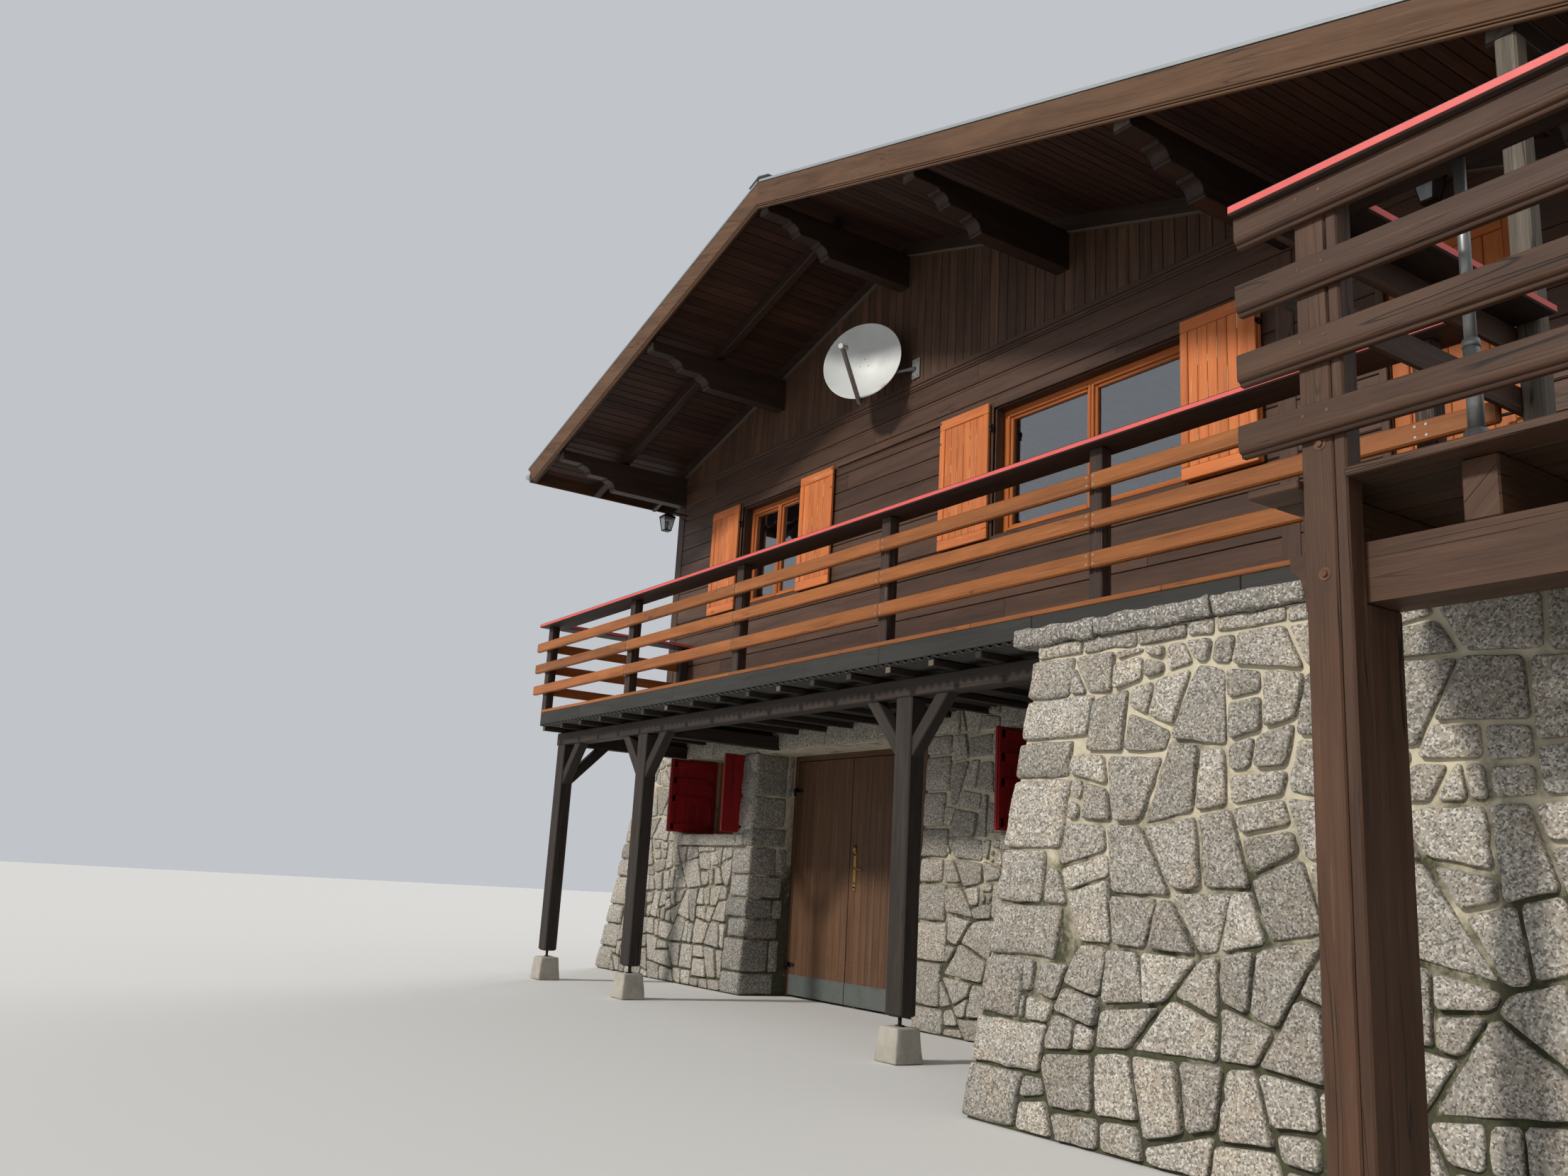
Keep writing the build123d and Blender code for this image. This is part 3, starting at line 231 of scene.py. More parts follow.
def addSlat(soup, place, v0, v1, start, end, o0, o1, edge, tone=None, slot=0):
    # a board whose two ends may slant: start and end give its length at each v
    ring = [(a + (v0 + v1) / 2, b + (o0 + o1) / 2) for a, b in chamfered(v1 - v0, o1 - o0, edge)]
    u, v, o = (place(*unit) - place(0, 0, 0) for unit in ((1, 0, 0), (0, 1, 0), (0, 0, 1)))
    u.normalize()
    if v.cross(o).dot(u) < 0:
        ring.reverse()
    looks = grainLooks(u, tone, slot)
    addPrism(soup, [place(start(a), a, b) for a, b in ring], [place(end(a), a, b) for a, b in ring], *looks)


def layBoards(soup, place, v0, v1, span, holes, kind):
    # span(v) gives the two ends of the wall at v; holes are (u0, u1, v0, v1)
    v, row, longest = v0, 0, kind["longest"]
    while v < v1 - 0.01:
        top = min(v + kind["pitch"] - kind["gap"], v1)
        levels = sorted({v, top} | {h for hole in holes for h in hole[2:] if v + 0.004 < h < top - 0.004})
        tone = random.random()
        for low, high in zip(levels, levels[1:]):
            mid = (low + high) / 2
            stops = [lambda w: span(w)[0]]
            for hole in sorted(holes):
                if hole[2] < mid < hole[3]:
                    stops += [lambda w, h=hole: h[0], lambda w, h=hole: h[1]]
            stops.append(lambda w: span(w)[1])
            for first, last in zip(stops[::2], stops[1::2]):
                a, b = first(mid), last(mid)
                if b - a < 0.02 or span(low)[1] - span(low)[0] < 0.02:
                    continue
                joints = []
                at = a + (row * 1.37 + 1.1) % longest
                while at < b - 0.5:
                    if at > a + 0.5:
                        joints.append(at)
                    at += longest
                starts = [first] + [lambda w, j=j: j + 0.0015 for j in joints]
                ends = [lambda w, j=j: j - 0.0015 for j in joints] + [last]
                for number, (p, q) in enumerate(zip(starts, ends)):
                    addSlat(soup, place, low, high, p, q, 0, kind["thick"], kind["edge"], (tone + number * 0.37) % 1)
        v += kind["pitch"]
        row += 1


# shader helpers, and node groups shared by several finishes
def setSocket(tree, socket, value):
    if isinstance(value, bpy.types.NodeSocket):
        tree.links.new(value, socket)
    else:
        socket.default_value = value


def addNode(tree, kind, settings=None, **links):
    made = tree.nodes.new("ShaderNode" + kind)
    for key, value in (settings or {}).items():
        setattr(made, key, value)
    for key, value in links.items():
        setSocket(tree, made.inputs[int(key[1:]) if key[0] == "i" and key[1:].isdigit() else key], value)
    return made


def noiseOf(tree, vector, scale=1.0, detail=2.0, roughness=0.5, distortion=0.0, stretch=None):
    if stretch:
        vector = addNode(tree, "Mapping", i0=vector, Scale=stretch).outputs[0]
    return addNode(tree, "TexNoise", i0=vector, Scale=scale, Detail=detail, Roughness=roughness, Distortion=distortion).outputs[0]


def ramp(tree, source, *stops):
    made = addNode(tree, "ValToRGB", i0=source)
    band = made.color_ramp
    while len(band.elements) < len(stops):
        band.elements.new(0.5)
    for element, (at, value) in zip(band.elements, stops):
        element.position = at
        element.color = (value, value, value, 1)
    return made.outputs[0]


def mixColor(tree, factor, a, b, blend="MIX"):
    made = addNode(tree, "Mix", {"data_type": "RGBA", "blend_type": blend}, i0=factor, i6=a, i7=b)
    return made.outputs[2]


def shaded(tree, color, shade):
    return mixColor(tree, 1.0, color, addNode(tree, "CombineColor", i0=shade, i1=shade, i2=shade).outputs[0], "MULTIPLY")


def maths(tree, operation, a, b=0.5, clamp=False):
    return addNode(tree, "Math", {"operation": operation, "use_clamp": clamp}, i0=a, i1=b).outputs[0]


def times(tree, a, b, clamp=False):
    return maths(tree, "MULTIPLY", a, b, clamp)


def plus(tree, a, b, clamp=False):
    return maths(tree, "ADD", a, b, clamp)


def minus(tree, a, b):
    return maths(tree, "SUBTRACT", a, b)


def newGroup(name, inputs):
    group = bpy.data.node_groups.new(name, "ShaderNodeTree")
    for label, value in inputs.items():
        kind = "Vector" if value is None else "Color" if isinstance(value, tuple) else "Float"
        socket = group.interface.new_socket(name=label, in_out="INPUT", socket_type="NodeSocket" + kind)
        if value is not None:
            socket.default_value = value
    for label, kind in (("Color", "Color"), ("Roughness", "Float"), ("Height", "Float")):
        group.interface.new_socket(name=label, in_out="OUTPUT", socket_type="NodeSocket" + kind)
    return group, group.nodes.new("NodeGroupInput").outputs, group.nodes.new("NodeGroupOutput").inputs


def giveOut(tree, outside, color, roughness, height):
    for label, value in (("Color", color), ("Roughness", roughness), ("Height", height)):
        tree.links.new(value, outside[label])
    return tree


def timberGroup():
    tree, given, outside = newGroup("timberGrain", {
        "Vector": None, "Tone": 0.5, "Base": (0.1, 0.05, 0.03, 1), "Dark": (0.05, 0.02, 0.01, 1), "Pale": (0.2, 0.1, 0.06, 1),
        "Knots": 0.5, "Wear": 0.3, "Spread": 0.4, "Gloss": 0.6, "Cracks": 0.3})
    vector = given["Vector"]
    figure = noiseOf(tree, vector, 1.0, 5.0, 0.6, 0.9, stretch=(0.9, 11, 11))
    fibre = noiseOf(tree, vector, 1.0, 3.0, 0.6, stretch=(3.0, 150, 150))
    blotch = noiseOf(tree, vector, 2.3, 3.0, 0.6)
    knotCell = addNode(tree, "TexVoronoi", {"feature": "F1"},
                       i0=addNode(tree, "Mapping", i0=vector, Scale=(2.4, 6.5, 6.5)).outputs[0], Scale=1.0)
    chosen = maths(tree, "GREATER_THAN", addNode(tree, "SeparateColor", i0=knotCell.outputs[1]).outputs[0], 0.7)
    near = ramp(tree, knotCell.outputs[0], (0.0, 1.0), (0.055, 0.75), (0.13, 0.0))
    knot = times(tree, times(tree, near, chosen), given["Knots"])
    grainMask = plus(tree, times(tree, ramp(tree, figure, (0.3, 0.0), (0.7, 1.0)), 0.65),
                     times(tree, ramp(tree, fibre, (0.3, 0.0), (0.75, 1.0)), 0.35))
    color = mixColor(tree, grainMask, given["Dark"], given["Base"])
    shade = plus(tree, times(tree, minus(tree, given["Tone"], 0.5), given["Spread"]), times(tree, minus(tree, blotch, 0.5), 0.35))
    color = shaded(tree, color, plus(tree, 1.0, shade))
    # bare streaks where the coat has worn off
    streak = noiseOf(tree, vector, 1.0, 4.0, 0.75, stretch=(1.6, 46, 46))
    patch = ramp(tree, noiseOf(tree, vector, 4.0, 4.0, 0.7), (0.45, 0.0), (0.75, 1.0))
    worn = times(tree, times(tree, ramp(tree, streak, (0.56, 0.0), (0.72, 1.0)), plus(tree, patch, 0.25)), given["Wear"], True)
    color = mixColor(tree, worn, color, given["Pale"])
    color = mixColor(tree, knot, color, mixColor(tree, 0.6, given["Dark"], (0.01, 0.006, 0.004, 1)))
    # drying cracks: thin dark lines along the grain, here and there
    split = noiseOf(tree, vector, 1.0, 1.5, 0.5, 0.4, stretch=(0.75, 15, 15))
    line = ramp(tree, maths(tree, "ABSOLUTE", minus(tree, split, 0.52)), (0.0, 1.0), (0.006, 0.8), (0.013, 0.0))
    where = ramp(tree, noiseOf(tree, vector, stretch=(1.3, 5, 5)), (0.5, 0.0), (0.58, 1.0))
    crack = times(tree, times(tree, line, where), given["Cracks"])
    color = mixColor(tree, crack, color, (0.004, 0.003, 0.002, 1))
    height = minus(tree, plus(tree, times(tree, grainMask, 0.5), times(tree, fibre, 0.5)), times(tree, knot, 0.4))
    rough = plus(tree, given["Gloss"], times(tree, minus(tree, grainMask, 0.4), -0.18))
    return giveOut(tree, outside, color, plus(tree, rough, times(tree, worn, 0.2), True),
                   minus(tree, height, times(tree, crack, 2.5)))


def graniteGroup():
    tree, given, outside = newGroup("graniteGrain", {
        "Vector": None, "Tone": 0.5, "Base": (0.3, 0.29, 0.27, 1), "Warm": (0.4, 0.33, 0.24, 1), "Lichen": 0.4})
    vector = given["Vector"]
    flecks = addNode(tree, "TexVoronoi", {"feature": "F1"}, i0=vector, Scale=135.0)
    fleck = addNode(tree, "SeparateColor", i0=flecks.outputs[1]).outputs[0]
    dark = ramp(tree, fleck, (0.0, 1.0), (0.2, 0.75), (0.32, 0.0))
    light = ramp(tree, fleck, (0.72, 0.0), (0.88, 0.9), (1.0, 1.0))
    cloud = noiseOf(tree, vector, 5.0, 5.0, 0.62)
    rough = noiseOf(tree, vector, 38.0, 6.0, 0.68)
    color = mixColor(tree, times(tree, ramp(tree, cloud, (0.42, 0.0), (0.72, 1.0)), 0.55), given["Base"], given["Warm"])
    color = mixColor(tree, times(tree, dark, 0.78), color, (0.055, 0.053, 0.05, 1))
    color = mixColor(tree, times(tree, light, 0.62), color, (0.62, 0.6, 0.56, 1))
    shade = plus(tree, 0.75, times(tree, given["Tone"], 0.46))
    color = shaded(tree, color, times(tree, shade, plus(tree, 0.66, times(tree, rough, 0.68))))
    spots = noiseOf(tree, vector, 13.0, 7.0, 0.75)
    grown = times(tree, ramp(tree, spots, (0.58, 0.0), (0.68, 1.0)), given["Lichen"])
    color = mixColor(tree, grown, color, (0.06, 0.06, 0.045, 1))
    return giveOut(tree, outside, color, plus(tree, 0.78, times(tree, light, -0.18)),
                   plus(tree, times(tree, rough, 0.75), times(tree, fleck, 0.18)))


def coatGroup():  # uneven paint or zinc: slow tone change, scratches and grime
    tree, given, outside = newGroup("wornCoat", {
        "Vector": None, "Base": (0.5, 0.5, 0.5, 1), "Grime": (0.1, 0.08, 0.06, 1), "Amount": 0.4, "Gloss": 0.4, "Scale": 6.0})
    scaled = addNode(tree, "VectorMath", {"operation": "SCALE"}, i0=given["Vector"], Scale=given["Scale"]).outputs[0]
    cloud = noiseOf(tree, scaled, 1.0, 6.0, 0.65)
    speck = noiseOf(tree, scaled, 9.0, 5.0, 0.7)
    mask = times(tree, ramp(tree, cloud, (0.42, 0.0), (0.78, 1.0)), given["Amount"])
    mask = plus(tree, mask, times(tree, ramp(tree, speck, (0.62, 0.0), (0.75, 1.0)), times(tree, given["Amount"], 0.6)), True)
    return giveOut(tree, outside, mixColor(tree, mask, given["Base"], given["Grime"]),
                   plus(tree, given["Gloss"], times(tree, mask, 0.3), True), plus(tree, cloud, times(tree, speck, 0.2)))


timberNodes, graniteNodes, coatNodes = timberGroup(), graniteGroup(), coatGroup()


def startMaterial(name):
    material = bpy.data.materials.new(name)
    material.use_nodes = True
    tree = material.node_tree
    return material, tree, tree.nodes["Principled BSDF"]


def objectVector(tree):
    return tree.nodes.new("ShaderNodeTexCoord").outputs["Object"]


def faceTone(tree):
    return addNode(tree, "Attribute", {"attribute_name": "tone"}).outputs["Fac"]


def placeGroup(tree, group, **values):
    made = addNode(tree, "Group", {"node_tree": group})
    for key, value in values.items():
        setSocket(tree, made.inputs[key], ink(value) if isinstance(value, str) else value)
    return made.outputs


def raiseSurface(tree, shader, height, depth, strength):
    bump = addNode(tree, "Bump", Strength=strength, Distance=depth, Height=height)
    tree.links.new(bump.outputs[0], shader.inputs["Normal"])


def finishMaterial(tree, shader, group, depth, strength):
    tree.links.new(group["Color"], shader.inputs["Base Color"])
    tree.links.new(group["Roughness"], shader.inputs["Roughness"])
    raiseSurface(tree, shader, group["Height"], depth, strength)


def timber(name, base, dark, pale, knots=0.4, wear=0.25, spread=0.35, gloss=0.62, cracks=0.25, grain="uv"):
    material, tree, shader = startMaterial(name)
    if grain == "uv":
        vector = addNode(tree, "UVMap", {"uv_map": "grain"}).outputs[0]
        tone = faceTone(tree)
    else:  # a CAD node, with the grain along x
        vector = addNode(tree, "Mapping", i0=objectVector(tree)).outputs[0]
        tone = 0.5
    group = placeGroup(tree, timberNodes, Vector=vector, Tone=tone, Base=base, Dark=dark, Pale=pale,
                       Knots=knots, Wear=wear, Spread=spread, Gloss=gloss, Cracks=cracks)
    finishMaterial(tree, shader, group, 0.0012, 0.55)
    shader.inputs["Specular IOR Level"].default_value = 0.28
    return material


def granite(name, base, warm, lichen):
    material, tree, shader = startMaterial(name)
    group = placeGroup(tree, graniteNodes, Vector=objectVector(tree), Tone=faceTone(tree), Base=base, Warm=warm, Lichen=lichen)
    finishMaterial(tree, shader, group, 0.009, 0.8)
    return material


def coated(name, base, grime, amount=0.35, gloss=0.45, scale=6.0, metal=0.0, depth=0.001, strength=0.25):
    material, tree, shader = startMaterial(name)
    group = placeGroup(tree, coatNodes, Vector=objectVector(tree), Base=base, Grime=grime, Amount=amount, Gloss=gloss, Scale=scale)
    finishMaterial(tree, shader, group, depth, strength)
    shader.inputs["Metallic"].default_value = metal
    return material


def mortarMaterial(name, base, grime, moss):  # pale above, dark and mossy near the ground
    material, tree, shader = startMaterial(name)
    vector = objectVector(tree)
    group = placeGroup(tree, coatNodes, Vector=vector, Base=base, Grime=grime, Amount=0.7, Gloss=0.85, Scale=7.0)
    level = addNode(tree, "SeparateXYZ", i0=vector).outputs[2]
    wet = plus(tree, times(tree, level, -0.42), times(tree, noiseOf(tree, vector, 3.2, 7.0, 0.7), 1.9))
    fine = noiseOf(tree, vector, 30.0, 4.0, 0.7)
    green = mixColor(tree, ramp(tree, fine, (0.45, 0.0), (0.65, 1.0)), ink(moss), ink("454a2a"))
    color = mixColor(tree, ramp(tree, wet, (0.26, 0.0), (0.66, 1.0)), group["Color"], green)
    tree.links.new(color, shader.inputs["Base Color"])
    shader.inputs["Roughness"].default_value = 0.95
    raiseSurface(tree, shader, group["Height"], 0.008, 0.9)
    return material


def clearGlass(name, tint, rough=0.012):
    material, tree, shader = startMaterial(name)
    for label, value in (("Base Color", ink(tint)), ("Roughness", rough), ("Transmission Weight", 1.0), ("IOR", 2.3)):
        shader.inputs[label].default_value = value
    film = ramp(tree, noiseOf(tree, objectVector(tree), 1.1, 1.0), (0.3, rough), (0.7, rough * 1.6))
    tree.links.new(film, shader.inputs["Roughness"])
    return material


finish = {
    "wall": timber("wallBoards", "573e30", "33241b", "80624c", 0.35, 0.35, 0.45, 0.5, 0.5),
    "gable": timber("gableBoards", "5a4131", "32221a", "907158", 0.3, 0.55, 0.5, 0.6),
    "soffit": timber("soffitBoards", "452c20", "241711", "684733", 0.3, 0.35, 0.6, 0.62),
    "beamDark": timber("carvedBeams", "3a2b23", "211711", "5c493f", 0.4, 0.3, 0.3, 0.6, 0.6),
    "barge": timber("bargeBoards", "64462f", "422d1c", "8b6a48", 0.5, 0.6, 0.35, 0.7, 0.6),
    "orange": timber("orangeShutters", "cf7a43", "a8592c", "f0cba6", 0.7, 0.6, 0.25, 0.5, 0.0),
    "sash": timber("windowWood", "b96a33", "8a4a22", "d8a270", 0.5, 0.15, 0.2, 0.42, 0.0),
    "rail": timber("balconyRails", "9e602f", "70401c", "c08a56", 1.0, 0.4, 0.4, 0.55, 0.5),
    "fascia": timber("fasciaBoards", "363530", "232320", "57544a", 0.2, 0.3, 0.2, 0.6),
    "post": timber("balconyPosts", "372f29", "1f1a17", "62584c", 0.5, 0.5, 0.3, 0.68, 1.0),
    "beam": timber("balconyBeam", "3a302a", "211b17", "5f5347", 0.5, 0.45, 0.3, 0.66, 0.8),
    "terrace": timber("terraceTimber", "533928", "312016", "7d5f47", 0.6, 0.5, 0.35, 0.6, 0.9),
    "deck": timber("deckBoards", "57463a", "352a22", "857260", 0.6, 0.6, 0.5, 0.72),
    "grey": timber("weatheredPost", "6b6257", "3d362e", "a1957f", 0.5, 0.9, 0.3, 0.75, 1.0),
    "red": timber("redShutters", "9c181c", "6f0f13", "b04a44", 0.2, 0.3, 0.25, 0.5),
    "gate": timber("gateBoards", "684a34", "422e1f", "a07148", 0.3, 0.7, 0.4, 0.6),
    "capTop": timber("handrailTop", "3f2f28", "261b16", "67543f", 0.4, 0.5, 0.3, 0.65),
    "railPost": timber("railPosts", "40302a", "241a15", "a8957c", 0.4, 0.85, 0.3, 0.65, 0.5),
    "bare": timber("bareWood", "e6c8a2", "cc9c6c", "f4e6cf", 0.1, 0.5, 0.5, 0.7, 0.0),
    # pale wood for sawn ends and hooks, also used as a painted highlight on lit timber edges and ends
    "endGrain": timber("endGrain", "6d6257", "4a4138", "968b7c", 0.1, 0.6, 0.3, 0.75),
    "innerWall": timber("innerWall", "6a5243", "4a372c", "80685a", 0.3, 0.2, 0.2, 0.7, grain="x"),
    "granite": granite("graniteBlocks", "938d82", "a18f77", 0.4),
    "graniteDark": granite("roughBlocks", "7d7971", "83776a", 0.6),
    "mortar": mortarMaterial("mortar", "c4bba3", "8f8676", "3b382c"),
    "concrete": coated("concrete", "a09a8f", "6f6a60", 0.6, 0.85, 8.0, depth=0.004, strength=0.6),
    "redEdge": coated("handrailEdge", "cb5450", "a03d39", 0.35, 0.5, 5.0),
    "zinc": coated("zinc", "b4b8ba", "7d8182", 0.5, 0.38, 4.0, 0.75),
    "roofSheet": coated("roofSheet", "8c9194", "6a6e70", 0.45, 0.45, 3.0, 0.35),
    "sheet": coated("corrugatedSheet", "34332f", "25231f", 0.5, 0.5, 5.0, 0.3),
    "kick": coated("kickPlate", "5d625e", "46463f", 0.6, 0.5, 7.0, 0.35),
    "iron": coated("blackIron", "232221", "3a2e25", 0.4, 0.5, 12.0, 0.5),
    "brass": coated("brass", "a08040", "5f4a26", 0.5, 0.42, 25.0, 0.7),
    "galvanised": coated("galvanised", "9b9d9c", "6f706d", 0.55, 0.42, 14.0, 0.8),
    "rusty": coated("rustyBolt", "6b4a37", "3d2a20", 0.7, 0.75, 40.0, 0.3),
    "dish": coated("dishPaint", "c2c5c3", "9a9c99", 0.35, 0.42, 5.0),
    "dishArm": coated("dishArm", "77706a", "4f4a46", 0.4, 0.45, 14.0, 0.3),
    "glass": clearGlass("windowPane", "e3eaf2"),
    "lampGlass": clearGlass("lanternPane", "e8ecea", 0.18),
}
print("finishes made:", len(finish))


def paint(nodeNames, key):
    for nodeName in nodeNames.split():
        target = nodes[nodeName]
        if not target.material_slots:
            target.data.materials.append(finish[key])
        for place in target.material_slots:
            place.material = finish[key]


paint("front_stone_wall_left front_stone_wall_right side_stone_walls rear_stone_wall door_lintel wing_wall", "mortar")
paint("front_timber_wall rear_timber_wall side_timber_walls gables roof_boarding upper_floor", "innerWall")
paint("ground_slab", "concrete")
paint("hinge_pins", "iron")
paint("window_glass", "glass")

# roof lines
roof = {"ridgeX": -1.04, "ridgeZ": 6.676, "slope": 0.303, "left": -5.64, "right": 5.52, "front": -1.6, "rear": 8.9}


def soffit(x):
    return roof["ridgeZ"] - roof["slope"] * abs(x - roof["ridgeX"])


def solidsOf(nodeName):  # the boxes of a node's separate solids
    target = nodes[nodeName]
    keys, boxes = {}, {}
    points = [target.matrix_world @ v.co for v in target.data.vertices]
    owner = [keys.setdefault((round(p.x, 4), round(p.y, 4), round(p.z, 4)), len(keys)) for p in points]
    parent = list(range(len(keys)))

    def root(a):
        while parent[a] != a:
            parent[a] = parent[parent[a]]
            a = parent[a]
        return a

    for face in target.data.polygons:
        first = root(owner[face.vertices[0]])
        for v in face.vertices[1:]:
            parent[root(owner[v])] = first
    for p, o in zip(points, owner):
        lo, hi = boxes.setdefault(root(o), (p.copy(), p.copy()))
        for i in range(3):
            lo[i], hi[i] = min(lo[i], p[i]), max(hi[i], p[i])
    return sorted(boxes.values(), key=lambda b: (round(b[0].x, 3), round(b[0].z, 3), b[0].y))


def addSolids(soup, nodeName, edge, pick=None):
    for lo, hi in solidsOf(nodeName):
        if pick is None or pick(lo, hi):
            size = hi - lo
            addBox(soup, lo, hi, "xyz"[max(range(3), key=lambda i: size[i])], edge)


# stone facing: a jittered net of quads, sliced into stones and cut to the wall and its openings
def between(a, b, t):
    return a[0] + (b[0] - a[0]) * t, a[1] + (b[1] - a[1]) * t


def clipTo(cell, point, normal):
    made = []
    for a, b in zip(cell, cell[1:] + cell[:1]):
        da, db = ((p[0] - point[0]) * normal[0] + (p[1] - point[1]) * normal[1] for p in (a, b))
        if da >= 0:
            made.append(a)
        if (da >= 0) != (db >= 0):
            made.append(between(a, b, da / (da - db)))
    return made


def areaOf(cell):
    return sum(a[0] * b[1] - b[0] * a[1] for a, b in zip(cell, cell[1:] + cell[:1])) / 2


def inwardEdges(shape):  # for a shape that runs anticlockwise
    for a, b in zip(shape, shape[1:] + shape[:1]):
        length = math.dist(a, b) or 1
        yield a, ((a[1] - b[1]) / length, (b[0] - a[0]) / length)


def plump(cell):  # 1 for a disc, small for a splinter
    around = sum(math.dist(a, b) for a, b in zip(cell, cell[1:] + cell[:1]))
    return 4 * math.pi * areaOf(cell) / (around * around + 1e-9)


def sliced(cell, limit, rng):  # cut along slanting lines, the plumpest of a few tries, until the parts are small
    if len(cell) < 3 or areaOf(cell) < limit:
        return [cell]
    midX, midY = (sum(p[k] for p in cell) / len(cell) for k in (0, 1))
    tries = []
    for k in range(7):
        turn = rng.choice((0, math.pi / 2)) + rng.gauss(0, 0.2)
        x, y = math.cos(turn), math.sin(turn)
        shift = rng.uniform(-0.15, 0.15) * math.sqrt(areaOf(cell))
        point = (midX + x * shift, midY + y * shift)
        parts = clipTo(cell, point, (x, y)), clipTo(cell, point, (-x, -y))
        if all(len(part) > 2 for part in parts):
            tries.append((min(plump(part) for part in parts) + rng.uniform(0, 0.08), k, parts))
    if not tries:
        return [cell]
    made = []
    for part in max(tries)[2]:
        made += sliced(part, limit * (rng.uniform(0.4, 1.2) if rng.random() < 0.3 else 1), rng)
    return made


def trimmed(cell, region, holes):
    for point, normal in inwardEdges(region):
        if len(cell) > 2:
            cell = clipTo(cell, point, normal)
    for hole in holes:
        if len(cell) < 3:
            break
        inside = cell
        for point, normal in inwardEdges(hole):
            inside = clipTo(inside, point, normal)
        if len(inside) > 2 and areaOf(inside) >= 1e-5:
            tries = [clipTo(cell, point, (-x, -y)) for point, (x, y) in inwardEdges(hole)]
            cell = max(tries, key=lambda c: areaOf(c) if len(c) > 2 else 0)
    return cell


def stoneCells(region, holes, sizes, seed):
    rng = random.Random(seed)
    xs, ys = zip(*region)
    small, large = sizes
    stepX, stepY = large * 3.1, large * 2.6
    columns, rows = int((max(xs) - min(xs)) / stepX) + 4, int((max(ys) - min(ys)) / stepY) + 4
    startX, startY = min(xs) - stepX * 1.4, min(ys) - stepY * 1.3
    net = [[(startX + (i + 0.35 * (j % 2) + rng.uniform(-0.17, 0.17)) * stepX, startY + (j + rng.uniform(-0.17, 0.17)) * stepY)
            for j in range(rows)] for i in range(columns)]
    cells = []
    for i in range(columns - 1):
        for j in range(rows - 1):
            block = [net[i][j], net[i + 1][j], net[i + 1][j + 1], net[i][j + 1]]
            limit = (small + large) ** 2 * rng.uniform(0.75, 1.25)
            cells += [trimmed(cell, region, holes) for cell in sliced(block, limit, rng)]
    return [cell for cell in cells if len(cell) > 2 and areaOf(cell) > 0.0016]


def softened(shape):  # corners cut twice, long sides divided
    for cut in (0.014, 0.005):
        made = []
        for before, here, after in zip(shape[-1:] + shape, shape, shape[1:] + shape[:1]):
            made += [between(here, other, min(cut / (math.dist(here, other) or 1e-6), 0.28)) for other in (before, after)]
        shape = made
    made = []
    for a, b in zip(shape, shape[1:] + shape[:1]):
        gap = math.dist(a, b)
        steps = int(gap / 0.045) if gap > 0.06 else 1
        made.append(a)
        made += [(a[0] + (b[0] - a[0]) * k / steps, a[1] + (b[1] - a[1]) * k / steps) for k in range(1, steps)]
    return made


def addStone(soup, place, cell, gap, proud, rng):
    shape = cell
    for point, normal in inwardEdges(cell):
        shape = clipTo(shape, (point[0] + normal[0] * gap, point[1] + normal[1] * gap), normal)
    if len(shape) < 3 or areaOf(shape) < 0.0007:
        return
    shape = softened(shape)
    cx, cy = (sum(p[k] for p in shape) / len(shape) for k in (0, 1))
    size = math.sqrt(areaOf(shape))
    high = proud * rng.uniform(0.7, 1.25)
    tiltX, tiltY = rng.uniform(-0.07, 0.07), rng.uniform(-0.07, 0.07)
    looks = (None, rng.random())
    offset = Vector((rng.uniform(0, 90), rng.uniform(0, 90), 0))
    edge = min(0.006, size * 0.07)
    layers = ((1.0, -0.012), (1.0, high * 0.6), (1 - 0.8 * edge / size, high * 0.9), (1 - 2.4 * edge / size, high),
              (0.7, high * 1.06), (0.36, high * 1.1))
    rings = []
    for level, (scale, up) in enumerate(layers):
        ring = []
        for px, py in shape:
            x, y = cx + (px - cx) * scale, cy + (py - cy) * scale
            wave = noise.noise(Vector((x * 17, y * 17, 0)) + offset)
            fine = noise.noise(Vector((x * 52, y * 52, 5)) + offset)
            if level < 4:
                out = 1 + wave * 0.05 + fine * 0.03
                x, y = cx + (x - cx) * out, cy + (y - cy) * out
            rise = up if level == 0 else up + (x - cx) * tiltX + (y - cy) * tiltY + (wave * 0.26 + fine * 0.16) * high
            ring.append(place(x, y, rise))
        rings.append(ring)
    for near, far in zip(rings, rings[1:]):
        joinRings(soup, near, far, *looks, smooth=True)
    middle = place(cx, cy, high * (1.2 + 0.2 * rng.uniform(-1, 1)))
    for a, b in zip(ring, ring[1:] + ring[:1]):
        addFace(soup, [a, b, middle], *looks, smooth=True)


def spread(length, radius, cell):
    radius = min(radius, length * 0.35)
    inner = length - 2 * radius
    steps = max(1, int(inner / cell))
    return [0, radius * 0.35] + [radius + inner * k / steps for k in range(steps + 1)] + [length - radius * 0.35, length]


